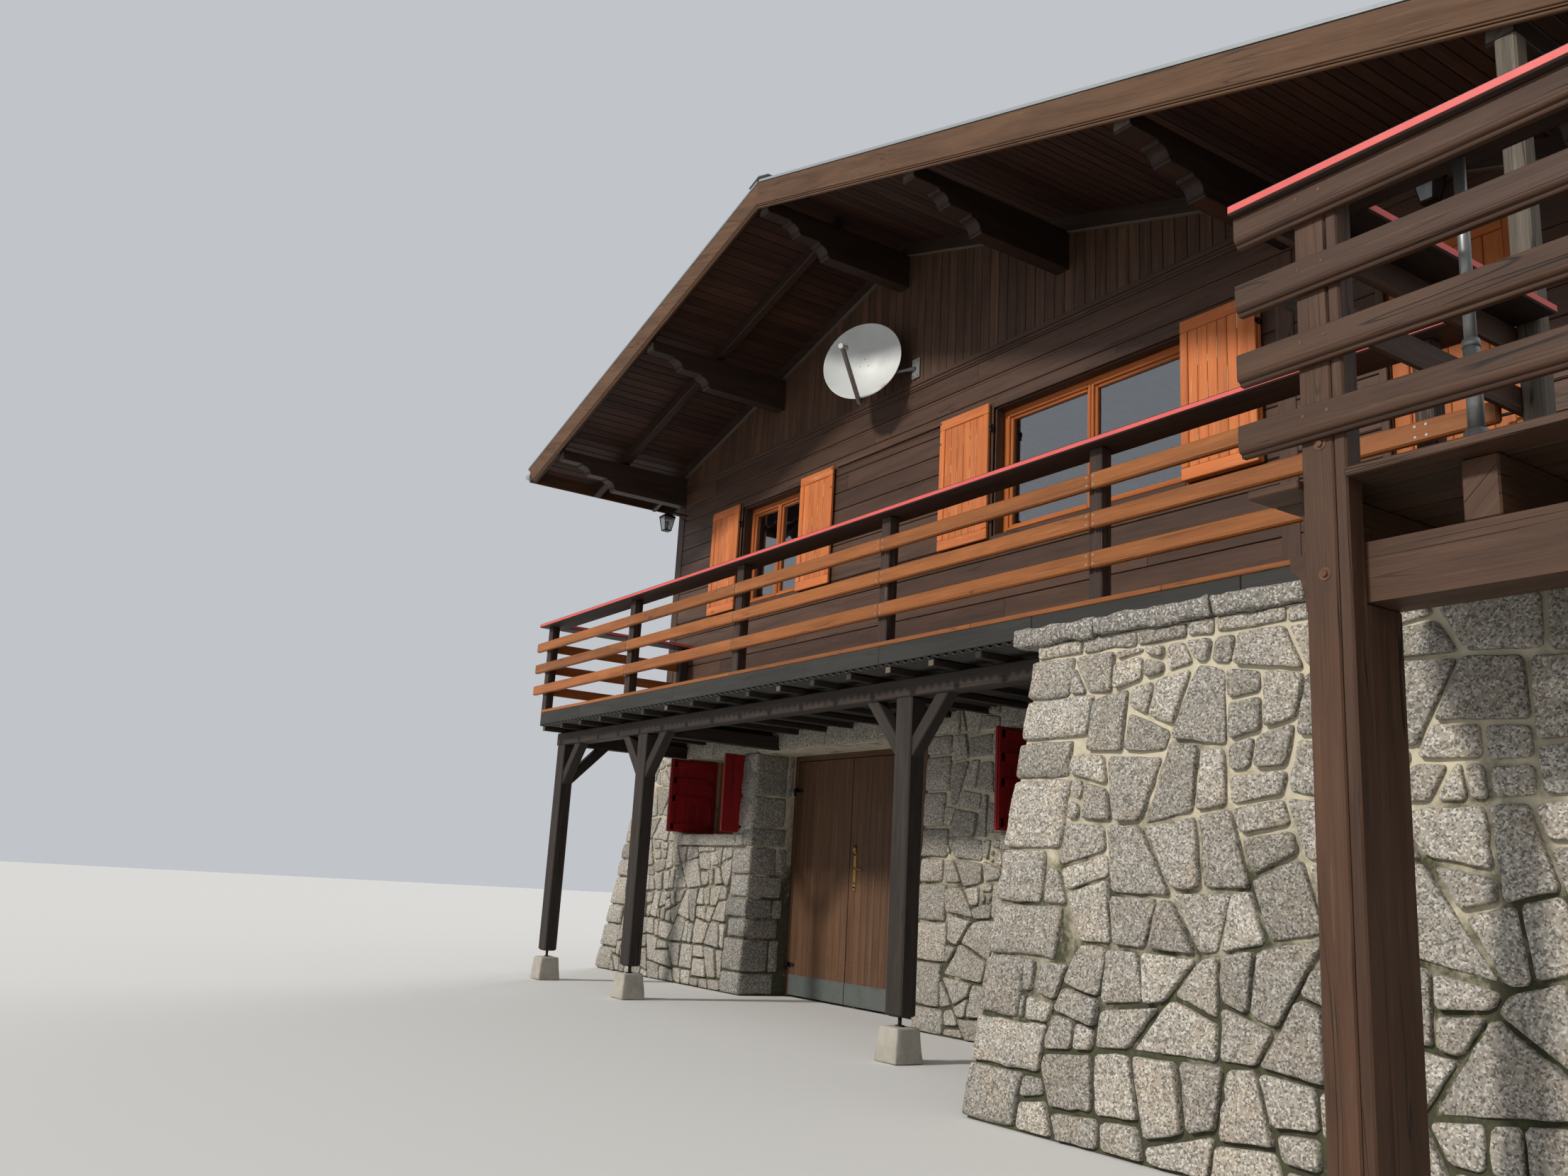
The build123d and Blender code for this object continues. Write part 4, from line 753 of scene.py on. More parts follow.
def addRock(soup, place, lo, hi, radius, rough, cell, pillow=0.0, slot=0):
    # a hewn block between two corners in the place's own directions
    size = [b - a for a, b in zip(lo, hi)]
    radius = min(radius, min(size) * 0.4)
    tone = random.random()
    offset = Vector((random.uniform(0, 90), random.uniform(0, 90), random.uniform(0, 90)))
    marks = [spread(length, radius, cell) for length in size]
    made = {}

    def corner(index):
        if index not in made:
            p = Vector([marks[k][index[k]] for k in range(3)])
            q = Vector([min(max(p[k], radius), size[k] - radius) for k in range(3)])
            if (p - q).length > 1e-9:
                p = q + (p - q).normalized() * radius
            n = noise.noise_vector(p * 9 + offset) * rough * 1.3 + noise.noise_vector(p * 31 + offset) * rough * 0.7
            a = math.sin(math.pi * p.x / size[0]) * math.sin(math.pi * p.y / size[1])
            p = p + n + Vector((0, 0, pillow * a * (1 if index[2] > 1 else 0)))
            made[index] = place(lo[0] + p.x, lo[1] + p.y, lo[2] + p.z)
        return made[index]

    for axis in range(3):
        u, v = (axis + 1) % 3, (axis + 2) % 3
        for end in (0, len(marks[axis]) - 1):
            for i in range(len(marks[u]) - 1):
                for j in range(len(marks[v]) - 1):
                    ring = []
                    for a, b in ((0, 0), (1, 0), (1, 1), (0, 1)):
                        index = [0, 0, 0]
                        index[axis], index[u], index[v] = end, i + a, j + b
                        ring.append(corner(tuple(index)))
                    addFace(soup, ring if end else ring[::-1], None, tone, slot, smooth=True)


base = {"height": 2.49, "batter": 0.1, "left": -5.94, "leftTop": -5.24, "right": 5, "depth": 8.0, "gap": 0.0105,
        "proud": 0.024, "frontSizes": (0.085, 0.2), "otherSizes": (0.1, 0.21)}
wing = {"left": 2.55, "leftTop": 2.88, "top": 2.118, "right": 7.5, "front": -2.12, "back": -1.52, "batter": 0.1,
        "levelled": 2.185, "copingLeft": 2.735, "copingRight": 4.758, "copingLengths": (0.52, 0.66, 0.44, 0.6)}
gateway = {"left": -2.97, "right": -0.47, "head": 2.2, "reveal": 0.383}
h, depth = base["height"], base["depth"]


def batter(z):
    return base["batter"] * (1 - z / h)


def leftCorner(z):
    return base["left"] + (base["leftTop"] - base["left"]) * z / h


def rightCorner(z):
    return base["right"] + batter(z)


def wingEdge(z):
    return wing["left"] + (wing["leftTop"] - wing["left"]) * z / wing["top"]


# places on a wall: along it, up, and out of it
def frontStone(x, z, o):
    return Vector((x, -batter(z) - o, z))


def rearStone(x, z, o):  # x runs the other way, so that cells keep their turn
    return Vector((-x, depth + batter(z) + o, z))


def leftStone(s, z, o):
    return Vector((leftCorner(z) - o, depth - s, z))


def rightStone(s, z, o):
    return Vector((rightCorner(z) + o, s, z))


def wingStone(x, z, o):
    return Vector((x, wing["front"] - wing["batter"] * (1 - z / wing["top"]) - o, z))


def wingEnd(s, z, o):
    return Vector((wingEdge(z) - o, wing["back"] - s, z))


def rect(x0, x1, z0, z1):
    return [(x0, z0), (x1, z0), (x1, z1), (x0, z1)]


def layStones(soup, place, region, holes, seed, sizes=base["frontSizes"]):
    rng = random.Random(seed)
    for cell in stoneCells(region, holes, sizes, seed):
        addStone(soup, place, cell, base["gap"] * rng.uniform(0.75, 1.4), base["proud"], rng)


def layQuoins(soup, place, edgeAt, along, z1, seed, wide=(0.26, 0.46), deep=(0.2, 0.4), high=(0.17, 0.33), slot=0, reveal=None):
    # blocks that turn a corner; along is the side of the corner that the place's first direction fills
    side, rough = (0.011, 0.006) if reveal else (base["proud"], 0.009)  # the open gate passes close to its jamb
    rng = random.Random(seed)
    shift = lambda s, t, o: place(edgeAt(t) + along * s, t, o)
    shapes = []
    z = 0
    while z < z1 - 0.05:
        top = min(z + rng.uniform(*high), z1)
        if z1 - top < 0.12:
            top = z1
        a, b = (rng.uniform(*limits) for limits in ((wide, deep) if len(shapes) % 2 else (deep, wide)))
        addRock(soup, shift, (-side, z + 0.007, -b), (a, top - 0.007, base["proud"] * 1.1), 0.024, rough, 0.055, 0.008, slot)
        if reveal and b < reveal - 0.06:
            addRock(soup, shift, (-side, z + 0.007, -reveal), (a * 0.5, top - 0.009, -b - 0.014), 0.02, rough, 0.055, slot=slot)
        shapes.append((edgeAt(z), edgeAt(top), z, top, a, b))
        z = top
    return shapes


def quoinHoles(shapes, along):
    holes = []
    for low, up, z, top, a, b in shapes:
        left, right = (1, a) if along > 0 else (a, 1)
        holes.append([(low - left, z), (low + right, z), (up + right, top), (up - left, top)])
    return holes


def turnedHoles(shapes, flip):  # the run of each block on the neighbouring face, from that face's own end
    holes = []
    for low, up, z, top, a, b in shapes:
        b -= batter((z + top) / 2)
        holes.append(rect(depth - b, depth + 1, z, top) if flip else rect(-1, b, z, top))
    return holes


frames = solidsOf("window_frames")
sillBoxes = solidsOf("window_sills")
masonry = newSoup()
doorLeft, doorRight, doorHead = gateway["left"], gateway["right"], gateway["head"]
leftQuoins = layQuoins(masonry, frontStone, leftCorner, 1, h, 11)
rightQuoins = layQuoins(masonry, frontStone, rightCorner, -1, h, 12)
jambLeft = layQuoins(masonry, frontStone, lambda z: doorLeft + 0.002, -1, doorHead, 13, (0.3, 0.37), (0.24, 0.36),
                     (0.16, 0.32), 1, gateway["reveal"])
jambRight = layQuoins(masonry, frontStone, lambda z: doorRight - 0.002, 1, doorHead, 14, (0.26, 0.37), reveal=gateway["reveal"])
frontHoles = []
for (lowLo, lowHi), (lo, hi) in zip([b for b in frames if b[1].z < h], sillBoxes):
    x0, x1, z0, z1 = lowLo.x, lowHi.x, lowLo.z, lowHi.z
    # a long block over the opening, and hewn jambs that turn into it
    middle = (x0 + x1) / 2 + random.uniform(-0.1, 0.1)
    for a, b in ((x0 - 0.16, middle), (middle, x1 + 0.2)):
        addRock(masonry, frontStone, (a + 0.005, z1 + 0.003, -0.3), (b - 0.005, h - 0.012, base["proud"] * 1.2),
                0.022, 0.008, 0.06, 0.006)
    frontHoles += [rect(x0 - 0.004, x1 + 0.004, z0 - 0.02, z1), rect(lo.x - 0.006, hi.x + 0.006, lo.z - 0.006, hi.z),
                   rect(x0 - 0.16, x1 + 0.2, z1, h)]
    for side, edgeX, shares in ((-1, x0, (0.3, 0.4, 0.3)), (1, x1, (0.42, 0.33, 0.25))):
        z = z0 + 0.004
        for share in shares:
            top = z + (z1 - z0) * share
            reach = random.uniform(0.16, 0.3)
            a, b = sorted((edgeX - side * 0.004, edgeX + side * reach))
            b = doorLeft - 0.006 if a < doorLeft < b else b  # not past the jamb, where the open gate stands
            addRock(masonry, frontStone, (a, z + 0.004, -0.32), (b, top - 0.006, base["proud"] * 1.1), 0.02, 0.008, 0.06, 0.006)
            frontHoles.append(rect(a, b, z, top))
            z = top
lintelMarks = (doorLeft - 0.34, -1.9, -0.98, doorRight + 0.36)
for a, b in zip(lintelMarks, lintelMarks[1:]):
    addRock(masonry, frontStone, (a + 0.006, doorHead + 0.004, -0.36), (b - 0.006, h - 0.008, base["proud"] * 1.3),
            0.022, 0.009, 0.06, 0.01)
frontHoles.append(rect(lintelMarks[0], lintelMarks[-1], doorHead, h))
for region, quoins, jamb, along, seed in (
        ([(leftCorner(0), 0), (doorLeft, 0), (doorLeft, h), (leftCorner(h), h)], leftQuoins, jambLeft, 1, 21),
        ([(doorRight, 0), (5.1, 0), (5.0, h), (doorRight, h)], rightQuoins, jambRight, -1, 22)):
    layStones(masonry, frontStone, region, frontHoles + quoinHoles(quoins, along) + quoinHoles(jamb, -along), seed)
makePiece("front_masonry", masonry, "granite graniteDark")
print("front masonry:", len(masonry["faces"]), "faces")

rearMasonry = newSoup()
rearLeft = layQuoins(rearMasonry, rearStone, lambda z: -leftCorner(z), -1, h, 15)
rearRight = layQuoins(rearMasonry, rearStone, lambda z: -rightCorner(z), 1, h, 16)
sideRegion = [(-0.1, 0), (depth + 0.1, 0), (depth, h), (0, h)]
rearRegion = [(-5.1, 0), (-leftCorner(0), 0), (-leftCorner(h), h), (-5.0, h)]
for side, soup, place, region, holes, seed in (
        ("left", newSoup(), leftStone, sideRegion, turnedHoles(leftQuoins, True) + turnedHoles(rearLeft, False), 23),
        ("right", newSoup(), rightStone, sideRegion, turnedHoles(rightQuoins, False) + turnedHoles(rearRight, True), 24),
        ("rear", rearMasonry, rearStone, rearRegion, quoinHoles(rearLeft, -1) + quoinHoles(rearRight, 1), 25)):
    layStones(soup, place, region, holes, seed, base["otherSizes"])
    makePiece(side + "_masonry", soup, "granite")
    print(side, "masonry:", len(soup["faces"]), "faces")

# wing wall, its coping and the window sills
wingMasonry = newSoup()
top, run = wing["top"], wing["back"] - wing["front"]
wingQuoins = layQuoins(wingMasonry, wingStone, wingEdge, 1, top, 17, deep=(0.22, 0.34))
layStones(wingMasonry, wingStone, [(wing["left"], 0), (wing["right"], 0), (wing["right"], top), (wing["leftTop"], top)],
          quoinHoles(wingQuoins, 1), 26)
x = wing["leftTop"]
while x < 4.74:  # thin levelling stones under the coping
    end = min(x + random.uniform(0.13, 0.36), 4.75)
    addRock(wingMasonry, lambda s, t, o: Vector((s, wing["front"] - o, t)), (x + 0.006, top + 0.006, -0.05),
            (end - 0.006, wing["levelled"], 0.018), 0.014, 0.006, 0.04)
    x = end
layStones(wingMasonry, wingEnd, rect(0, run + 0.05, 0, top), [rect(run - b, run + 1, z, t) for low, up, z, t, a, b in wingQuoins], 27)
layStones(wingMasonry, lambda s, z, o: Vector((wing["right"] + o, s - 2.2, z)), rect(0.02, 0.66, 0, top), [], 28)
layStones(wingMasonry, lambda s, z, o: Vector((-s, wing["back"] + o, z)),
          [(-wing["right"], 0), (-wing["left"], 0), (-wing["leftTop"], top), (-wing["right"], top)], [], 29)
x, row = wing["copingLeft"], 0
while x < 4.75:
    end = min(x + wing["copingLengths"][row % 4], wing["copingRight"])
    addRock(wingMasonry, lambda s, t, o: Vector((s, -1.497 - o, t)), (x + 0.004, 2.193, 0.0), (end - 0.004, 2.281, 0.668),
            0.014, 0.011, 0.035, slot=1)
    x, row = end, row + 1
makePiece("wing_masonry", wingMasonry, "granite graniteDark", "wing_coping")
sills = newSoup()
for lo, hi in sillBoxes:
    addRock(sills, lambda s, t, o: Vector((s, -o, t)), (lo.x, lo.z, -hi.y - 0.01), (hi.x, hi.z - 0.002, -lo.y), 0.016, 0.004, 0.05)
makePiece("granite_sills", sills, "granite", "window_sills")
print("wing masonry:", len(wingMasonry["faces"]), "faces")

# boards on the timber walls
boards = {"pitch": 0.167, "gap": 0.006, "thick": 0.015, "edge": 0.004, "longest": 4.2, "low": 2.494,
          "moulding": 5.214, "mouldingTop": 5.284, "end": 4.869}
gableKind = {"pitch": 0.104, "gap": 0.005, "thick": 0.014, "edge": 0.003, "longest": 9}
upperWindows = [(-3.60, -2.51, 3.70, 4.75), (0.18, 2.04, 3.70, 4.75), (3.46, 4.22, 2.5, 4.75)]
rearWindows = [(-3.705, -2.515, 3.70, 4.75), (1.50, 2.69, 3.70, 4.75)]
purlinXs = sorted({round((lo.x + hi.x) / 2, 3) for lo, hi in solidsOf("purlins")})
covers = sorted((lo.x, hi.x) for lo, hi in solidsOf("wall_trim") if hi.y < 0.01 and hi.z - lo.z > 1)
wallBoards, gableBoards, trim = newSoup(), newSoup(), newSoup()
for place, windows, low in ((lambda u, v, o: Vector((u, -o, v)), upperWindows + [(*covers[1], 2.5, 5.0)], 2.524),
                            (lambda u, v, o: Vector((u, 8 + o, v)), rearWindows, boards["low"])):
    layBoards(wallBoards, place, low, boards["moulding"],
              lambda v: (-boards["end"], min(boards["end"], roof["ridgeX"] + (roof["ridgeZ"] - v) / roof["slope"] - 0.02)),
              windows, boards)
for side in (-1, 1):
    layBoards(wallBoards, lambda u, v, o: Vector((side * (5 + o), u, v)), boards["low"], soffit(side * 5) - 0.03,
              lambda v: (0.002, 7.998), [(3.2, 4.39, 3.45, 4.31)], boards)
makePiece("wall_boards", wallBoards, "wall")
for y, out in ((0, -1), (8, 1)):
    layBoards(gableBoards, lambda u, v, o: Vector((v, y + out * o, u)), -4.998, 3.50,
              lambda v: (boards["mouldingTop"] - 0.01, soffit(v) - 0.004), [], gableKind)
makePiece("gable_boards", gableBoards, "gable")
for lo, hi in solidsOf("wall_trim"):
    if hi.z - lo.z > 1:
        addBox(trim, lo, hi, "z", 0.004)
    else:  # the moulding under the gable, over a pale strip
        addBox(trim, (lo.x, lo.y, lo.z + 0.03), (hi.x, 0.0, hi.z), "x", 0.005)
        addBox(trim, (lo.x, lo.y + 0.004, lo.z), (hi.x, 0.0, lo.z + 0.026), "x", 0.004, slot=1)
addBox(trim, (-4.998, 8.0, 5.244), (3.3, 8.022, 5.284), "x", 0.005)
addBox(trim, (-1.93, -0.036, 4.772), (-0.46, -0.014, 4.802), "x", 0.004, slot=1)  # a batten between the pairs of shutters
makePiece("wall_trim_boards", trim, "wall gable", "wall_trim")
print("wall boards:", len(wallBoards["faces"]) + len(gableBoards["faces"]), "faces")

# roof timber
eaves = ((-1, roof["left"]), (1, roof["right"]))
carving = {"front": -1.52, "rear": 8.82, "half": 0.065, "deep": 0.455, "top": 0.14, "edge": 0.004,
           "steps": ((-1.19, 0.114, 0.097), (-0.89, 0, 0.114)), "nose": 0.33}
purlinSoup = newSoup()
for x in purlinXs:
    bottom, top, front, rear = soffit(x) - carving["deep"], soffit(x) - carving["top"], carving["front"], carving["rear"]
    outline = [(front + 0.004, top), (front, top - 0.004), (front, bottom + 0.222), (front + 0.012, bottom + 0.211)]
    for start, lift, rise in carving["steps"]:  # a small lip, then a hollow curve that falls to the next, deeper part
        low = bottom + lift
        outline += [(start - 0.105, low + rise), (start - 0.1, low + rise - 0.016)]
        outline += [(start - 0.094 + 0.082 * c, low + 0.014 + (rise - 0.034) * s) for c, s in reversed(quarter(8))]
        outline += [(start - 0.002, low + 0.011), (start + 0.004, low)]
    outline.append((rear - carving["nose"], bottom))
    outline += [(rear - carving["nose"] + 0.09 * (1 - c), bottom + 0.012 + 0.08 * s) for c, s in quarter(8)]
    outline += [(rear - 0.006, bottom + 0.097), (rear, bottom + 0.103), (rear, top - 0.004), (rear - 0.004, top)]
    extrude(purlinSoup, outline, Vector((x - carving["half"], 0, 0)), axisY, axisZ, 2 * carving["half"], axisY, carving["edge"])
    # pale end grain, made paler still as a painted highlight where light falls on the front ends
    addBox(purlinSoup, (x - 0.058, front - 0.0015, bottom + 0.228), (x + 0.058, front + 0.002, top - 0.01), "y", 0.001, slot=1)
makePiece("carved_purlins", purlinSoup, "beamDark endGrain", "purlins")

rafterSoup = newSoup()
for lo, hi in solidsOf("rafters"):
    side, eave = eaves[0] if lo.x < roof["ridgeX"] - 1 else eaves[1]
    way = Vector((side, 0, -roof["slope"])).normalized()
    start = Vector((roof["ridgeX"], (lo.y + hi.y) / 2, roof["ridgeZ"] - 0.06 / math.cos(math.atan(roof["slope"])) * 0.99))
    length = abs(eave - roof["ridgeX"]) * math.sqrt(1 + roof["slope"] ** 2)
    across = axisY.cross(way).normalized() * -1
    if axisY.cross(across).dot(way) < 0:
        across = -across
    extrude(rafterSoup, chamfered(hi.y - lo.y, 0.115, 0.006), start, axisY, across, length, edge=0.002,
            cutStart=(start.copy(), axisX), cutEnd=(Vector((eave, start.y, 0)), axisX))
for y0, y1 in ((-0.05, -0.001), (8.001, 8.05)):
    for side, eave in eaves:
        place = lambda u, v, o: Vector((u, o, soffit(u) - 0.128 + v))
        first, last = (lambda v, x=x: x for x in sorted((roof["ridgeX"], eave)))
        addSlat(rafterSoup, place, 0.0, 0.122, first, last, y0, y1, 0.004)
        # a thin strip of pale wood under each edge rafter: a painted highlight along its lit lower edge
        addSlat(rafterSoup, place, -0.007, 0.0, first, last, y0 + 0.004, y1 - 0.004, 0.001, slot=1)
makePiece("rafter_timbers", rafterSoup, "beamDark endGrain", "rafters")

soffitSoup = newSoup()
for side, eave in eaves:
    span = abs(eave - roof["ridgeX"])
    count = int(span / 0.098)
    width = span / count
    for k in range(count):
        x0, x1 = sorted((roof["ridgeX"] + side * k * width, roof["ridgeX"] + side * ((k + 1) * width - 0.006)))
        cuts = [-1.565, random.uniform(1.0, 3.6), random.uniform(4.6, 6.6), 8.865]
        tone = random.random()
        for n, (y0, y1) in enumerate(zip(cuts, cuts[1:])):
            addSlat(soffitSoup, lambda u, v, o: Vector((v, u, soffit(v) - o)), x0, x1, lambda v: y0 + 0.001,
                    lambda v: y1 - 0.001, -0.004, 0.008, 0.003, (tone + n * 0.31) % 1)
makePiece("soffit_boards", soffitSoup, "soffit")
print("roof timber done")

# roof covering: sheets with standing seams, the ridge cap, the barge boards and the gutters
sheets = {"wide": 0.438, "under": 0.024, "over": 0.030, "rib": 0.034, "seam": 0.047, "past": 0.02, "cap": 0.076}
covering = newSoup()
over, rib, seam = sheets["over"], sheets["rib"], sheets["seam"]
for side, eave in eaves:
    eave += side * sheets["past"]
    way = Vector((side, 0, -roof["slope"])).normalized()
    normal = axisY.cross(way) * -side
    marks = []
    y = roof["front"]
    while y < roof["rear"] - 0.2:
        marks.append(y)
        y += sheets["wide"]
    marks.append(roof["rear"])
    for y0, y1 in zip(marks, marks[1:]):  # one tray: flat pan, small stiffening ribs, a seam on one edge
        wide = y1 - y0
        top = [(0.0, over), (0.003, seam), (0.012, seam), (0.015, over)]
        for share in (0.25, 0.5, 0.75):
            top += [(wide * share - 0.012, over), (wide * share - 0.006, rib), (wide * share + 0.006, rib), (wide * share + 0.012, over)]
        top.append((wide - 0.0005, over))
        shape = [(0, sheets["under"]), (wide - 0.0005, sheets["under"])] + top[::-1]
        if side < 0:
            shape.reverse()
        ring = [Vector((roof["ridgeX"], y0, roof["ridgeZ"])) + axisY * p + normal * q for p, q in shape]
        far = [r + way * ((Vector((eave, r.y, 0)) - r).x / way.x) for r in ring]
        addPrism(covering, [r + way * 0.004 for r in ring], far, None, random.random())
capShape = [(-0.15, -0.0455), (0, 0), (0.15, -0.0455), (0.15, -0.0405), (0.03, -0.003), (0.012, 0.007), (-0.012, 0.007),
            (-0.03, -0.003), (-0.15, -0.0405)]
ring = [Vector((roof["ridgeX"] + p, roof["front"] + 0.002, roof["ridgeZ"] + sheets["cap"] + q)) for p, q in capShape]
addPrism(covering, ring[::-1], [r + Vector((0, roof["rear"] - roof["front"] - 0.004, 0)) for r in ring[::-1]], None, 0.5)
makePiece("roof_sheets", covering, "roofSheet", "roof_covering")

barge = {"deep": 0.238, "thick": 0.03, "foot": 0.19, "steps": ((-0.204, -0.002, 0.0295, 0.004), (-0.217, -0.207, 0.026, 0.002),
                                                              (-0.238, -0.22, 0.023, 0.005))}
bargeSoup = newSoup()
for y, out in ((roof["front"], -1), (roof["rear"], 1)):
    for side, eave in eaves:
        place = lambda u, v, o: Vector((u, y - out * barge["thick"] + out * o, soffit(u) + 0.021 + v))
        foot = eave - side * barge["foot"]
        stops = [lambda v: eave + (foot - eave) * min(1, max(0, -v / barge["deep"])), lambda v: roof["ridgeX"]]
        for v0, v1, thick, edge in barge["steps"]:
            addSlat(bargeSoup, place, v0, v1, *stops[::-side], 0, thick, edge, tone=0.35 + 0.3 * random.random())
for side, eave in eaves:
    a, b = sorted((eave, eave + side * 0.02))
    addBox(bargeSoup, (a, -1.57, soffit(eave) - 0.12), (b, 8.87, soffit(eave) + 0.012), "y", 0.004)
makePiece("roof_edge_timber", bargeSoup, "barge", "roof_edge_boards")

gutterSoup = newSoup()
for lo, hi in solidsOf("gutters"):
    cx, top, radius = (lo.x + hi.x) / 2, hi.z, (hi.x - lo.x) / 2
    half = [math.pi + math.pi * k / 18 for k in range(19)]
    outer, inner = ([(cx + r * math.cos(t), top - 0.004 + r * math.sin(t)) for t in half] for r in (radius * 0.985, radius - 0.004))
    near, far = ([Vector((x, y, z)) for x, z in outer + inner[::-1]] for y in (lo.y, hi.y))
    for a, b, c, d in zip(near, far, far[1:] + far[:1], near[1:] + near[:1]):
        addFace(gutterSoup, [a, b, c, d], smooth=True)
    addFace(gutterSoup, [Vector((x, lo.y + 0.001, z)) for x, z in outer])
    addFace(gutterSoup, [Vector((x, hi.y - 0.001, z)) for x, z in outer[::-1]])
    bead = cx + (-1 if cx < 0 else 1) * (radius - 0.009)
    addTube(gutterSoup, [(bead, lo.y, top - 0.009), (bead, hi.y, top - 0.009)], 0.0085, 12)
    y = lo.y + 0.25
    while y < hi.y:  # straps across
        addBox(gutterSoup, (cx - radius + 0.006, y, top - 0.0065), (cx + radius - 0.004, y + 0.028, top - 0.0015), "x", 0.001)
        y += 0.83
makePiece("zinc_gutters", gutterSoup, "zinc", "gutters")
print("roof done")

# balcony
posts = {"half": 0.08, "front": -1.424, "back": -1.304, "middle": -1.364, "foot": 0.268,
         "braces": {-4.42: (1,), -2.676: (-1, 1), 0.955: (-1, 1), 4.48: (-1,)}}


def addBrace(soup, foot, head, side, post, beam, slot=0):  # its ends are cut to the post and to the beam above
    extrude(soup, chamfered(0.09, 0.09, 0.007), foot, side, (head - foot).normalized().cross(side), (head - foot).length,
            edge=0.002, slot=slot, cutStart=post, cutEnd=(beam, axisZ))


def addLengths(soup, lo, hi, joints, gap, inset=0.0):  # a board on the edge of the deck, the long one in several lengths
    if hi.x - lo.x < 1:
        addBox(soup, lo, hi, "y", 0.004)
        return
    marks = [lo.x, *joints, hi.x]
    for a, b in zip(marks, marks[1:]):
        addBox(soup, (a + gap, lo.y + inset, lo.z), (b - gap, hi.y, hi.z), "x", 0.004)


balcony = newSoup()
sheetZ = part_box("corrugated_sheet")[1][2]
addSolids(balcony, "balcony_joists", 0.005, lambda lo, hi: hi.z > sheetZ + 0.01)
for lo, hi in solidsOf("balcony_joists"):
    if hi.z < sheetZ:  # a batten, now and then with a pale sawn end
        addBox(balcony, lo, hi, "y", 0.003)
        if random.random() < 0.35:
            addBox(balcony, (lo.x + 0.002, lo.y - 0.001, lo.z + 0.002), (hi.x - 0.002, lo.y + 0.002, hi.z - 0.002), "y", 0.001, slot=1)
for lo, hi in solidsOf("cross_beams"):
    high, cx = hi.z - 0.121, (lo.x + hi.x) / 2
    addBox(balcony, (lo.x, lo.y, high), hi, "y", 0.006)
    if lo.z < high - 0.1:  # its knee brace, back from the corner post
        addBrace(balcony, Vector((cx, lo.y - 0.035, high - 0.38 + 0.0286)), Vector((cx, lo.y + 0.38 - 0.0286, high + 0.035)), axisX,
                 (Vector((cx, lo.y + 0.001, high)), axisY), Vector((cx, 0, high + 0.001)))
makePiece("balcony_joist_timbers", balcony, "beam endGrain", "balcony_joists cross_beams")
beamSoup, pins = newSoup(), newSoup()
addSolids(beamSoup, "balcony_beam", 0.008)
postTop, cy = solidsOf("balcony_beam")[0][0].z, posts["middle"]
for x, sides in posts["braces"].items():
    addBox(beamSoup, (x - posts["half"], posts["front"], posts["foot"]), (x + posts["half"], posts["back"], postTop + 0.001),
           "z", 0.009, slot=1)
    for side in sides:
        addBrace(beamSoup, Vector((x + side * 0.045, cy, postTop - 0.38 + 0.0636 - 0.035)),
                 Vector((x + side * (0.38 - 0.0636 + 0.035), cy, postTop + 0.03 - 0.035)), axisY,
                 (Vector((x + side * 0.079, cy, postTop - 0.3)), axisX), Vector((x + side * 0.3, cy, postTop + 0.001)), 1)
for x in posts["braces"]:
    addPin(pins, "z", x, cy, (0.2, 0.27), 0.012)
    addBox(pins, (x - 0.05, cy - 0.05, 0.262), (x + 0.05, cy + 0.05, 0.2695), "x", 0.002)
    addPin(pins, "z", x, cy, (0.204, 0.214), 0.03, 6)
makePiece("post_pins", pins, "iron")
makePiece("balcony_frame_timbers", beamSoup, "beam post", "balcony_beam balcony_posts")
plinthSoup = newSoup()
for lo, hi in solidsOf("post_plinths"):
    cx, cy, half = (lo.x + hi.x) / 2, (lo.y + hi.y) / 2, (hi.x - lo.x) / 2
    shrink = lambda t: 1 - 0.2 * t / hi.z
    addRock(plinthSoup, lambda s, t, o: Vector((cx + s * shrink(t), cy - o * shrink(t), t)), (-half, 0, -half), (half, hi.z, half),
            0.014, 0.004, 0.04)
makePiece("concrete_plinths", plinthSoup, "concrete", "post_plinths")

sheetSoup = newSoup()
(lo, hi), = solidsOf("corrugated_sheet")
wave = {"pitch": 0.0765, "rise": (hi.z - lo.z) / 2 - 0.001, "half": 0.0008}
steps = int((hi.x - lo.x) / (wave["pitch"] / 8))
xs = [lo.x + (hi.x - lo.x) * k / steps for k in range(steps + 1)]
zs = [(lo.z + hi.z) / 2 + wave["rise"] * math.sin(2 * math.pi * (x - lo.x) / wave["pitch"]) for x in xs]
for a, b, za, zb in zip(xs, xs[1:], zs, zs[1:]):
    for flip in (1, -1):
        ring = [Vector((x, y, z + flip * wave["half"])) for x, y, z in ((a, lo.y, za), (b, lo.y, zb), (b, hi.y, zb), (a, hi.y, za))]
        addFace(sheetSoup, ring[::flip], smooth=True)
    addFace(sheetSoup, [Vector((x, lo.y, z + way * wave["half"])) for x, z, way in ((a, za, -1), (b, zb, -1), (b, zb, 1), (a, za, 1))])
makePiece("wavy_sheet", sheetSoup, "sheet", "corrugated_sheet")

deckSoup = newSoup()
lo, hi = solidsOf("decks")[0]
y, row = lo.y, 0
while y < hi.y - 0.03:
    end = min(y + 0.142, hi.y)
    cuts = [lo.x] + [lo.x + (1.9 + 0.9 * (row % 3)) + k * 3.1 for k in range(3)] + [hi.x]
    cuts = [c for c in cuts if c <= hi.x]
    for a, b in zip(cuts, cuts[1:]):
        if b - a > 0.1:
            addBox(deckSoup, (a + 0.001, y, lo.z + 0.001), (b - 0.001, end - 0.006, hi.z), "x", 0.003)
    y, row = end, row + 1
makePiece("balcony_deck_boards", deckSoup, "deck", "decks")

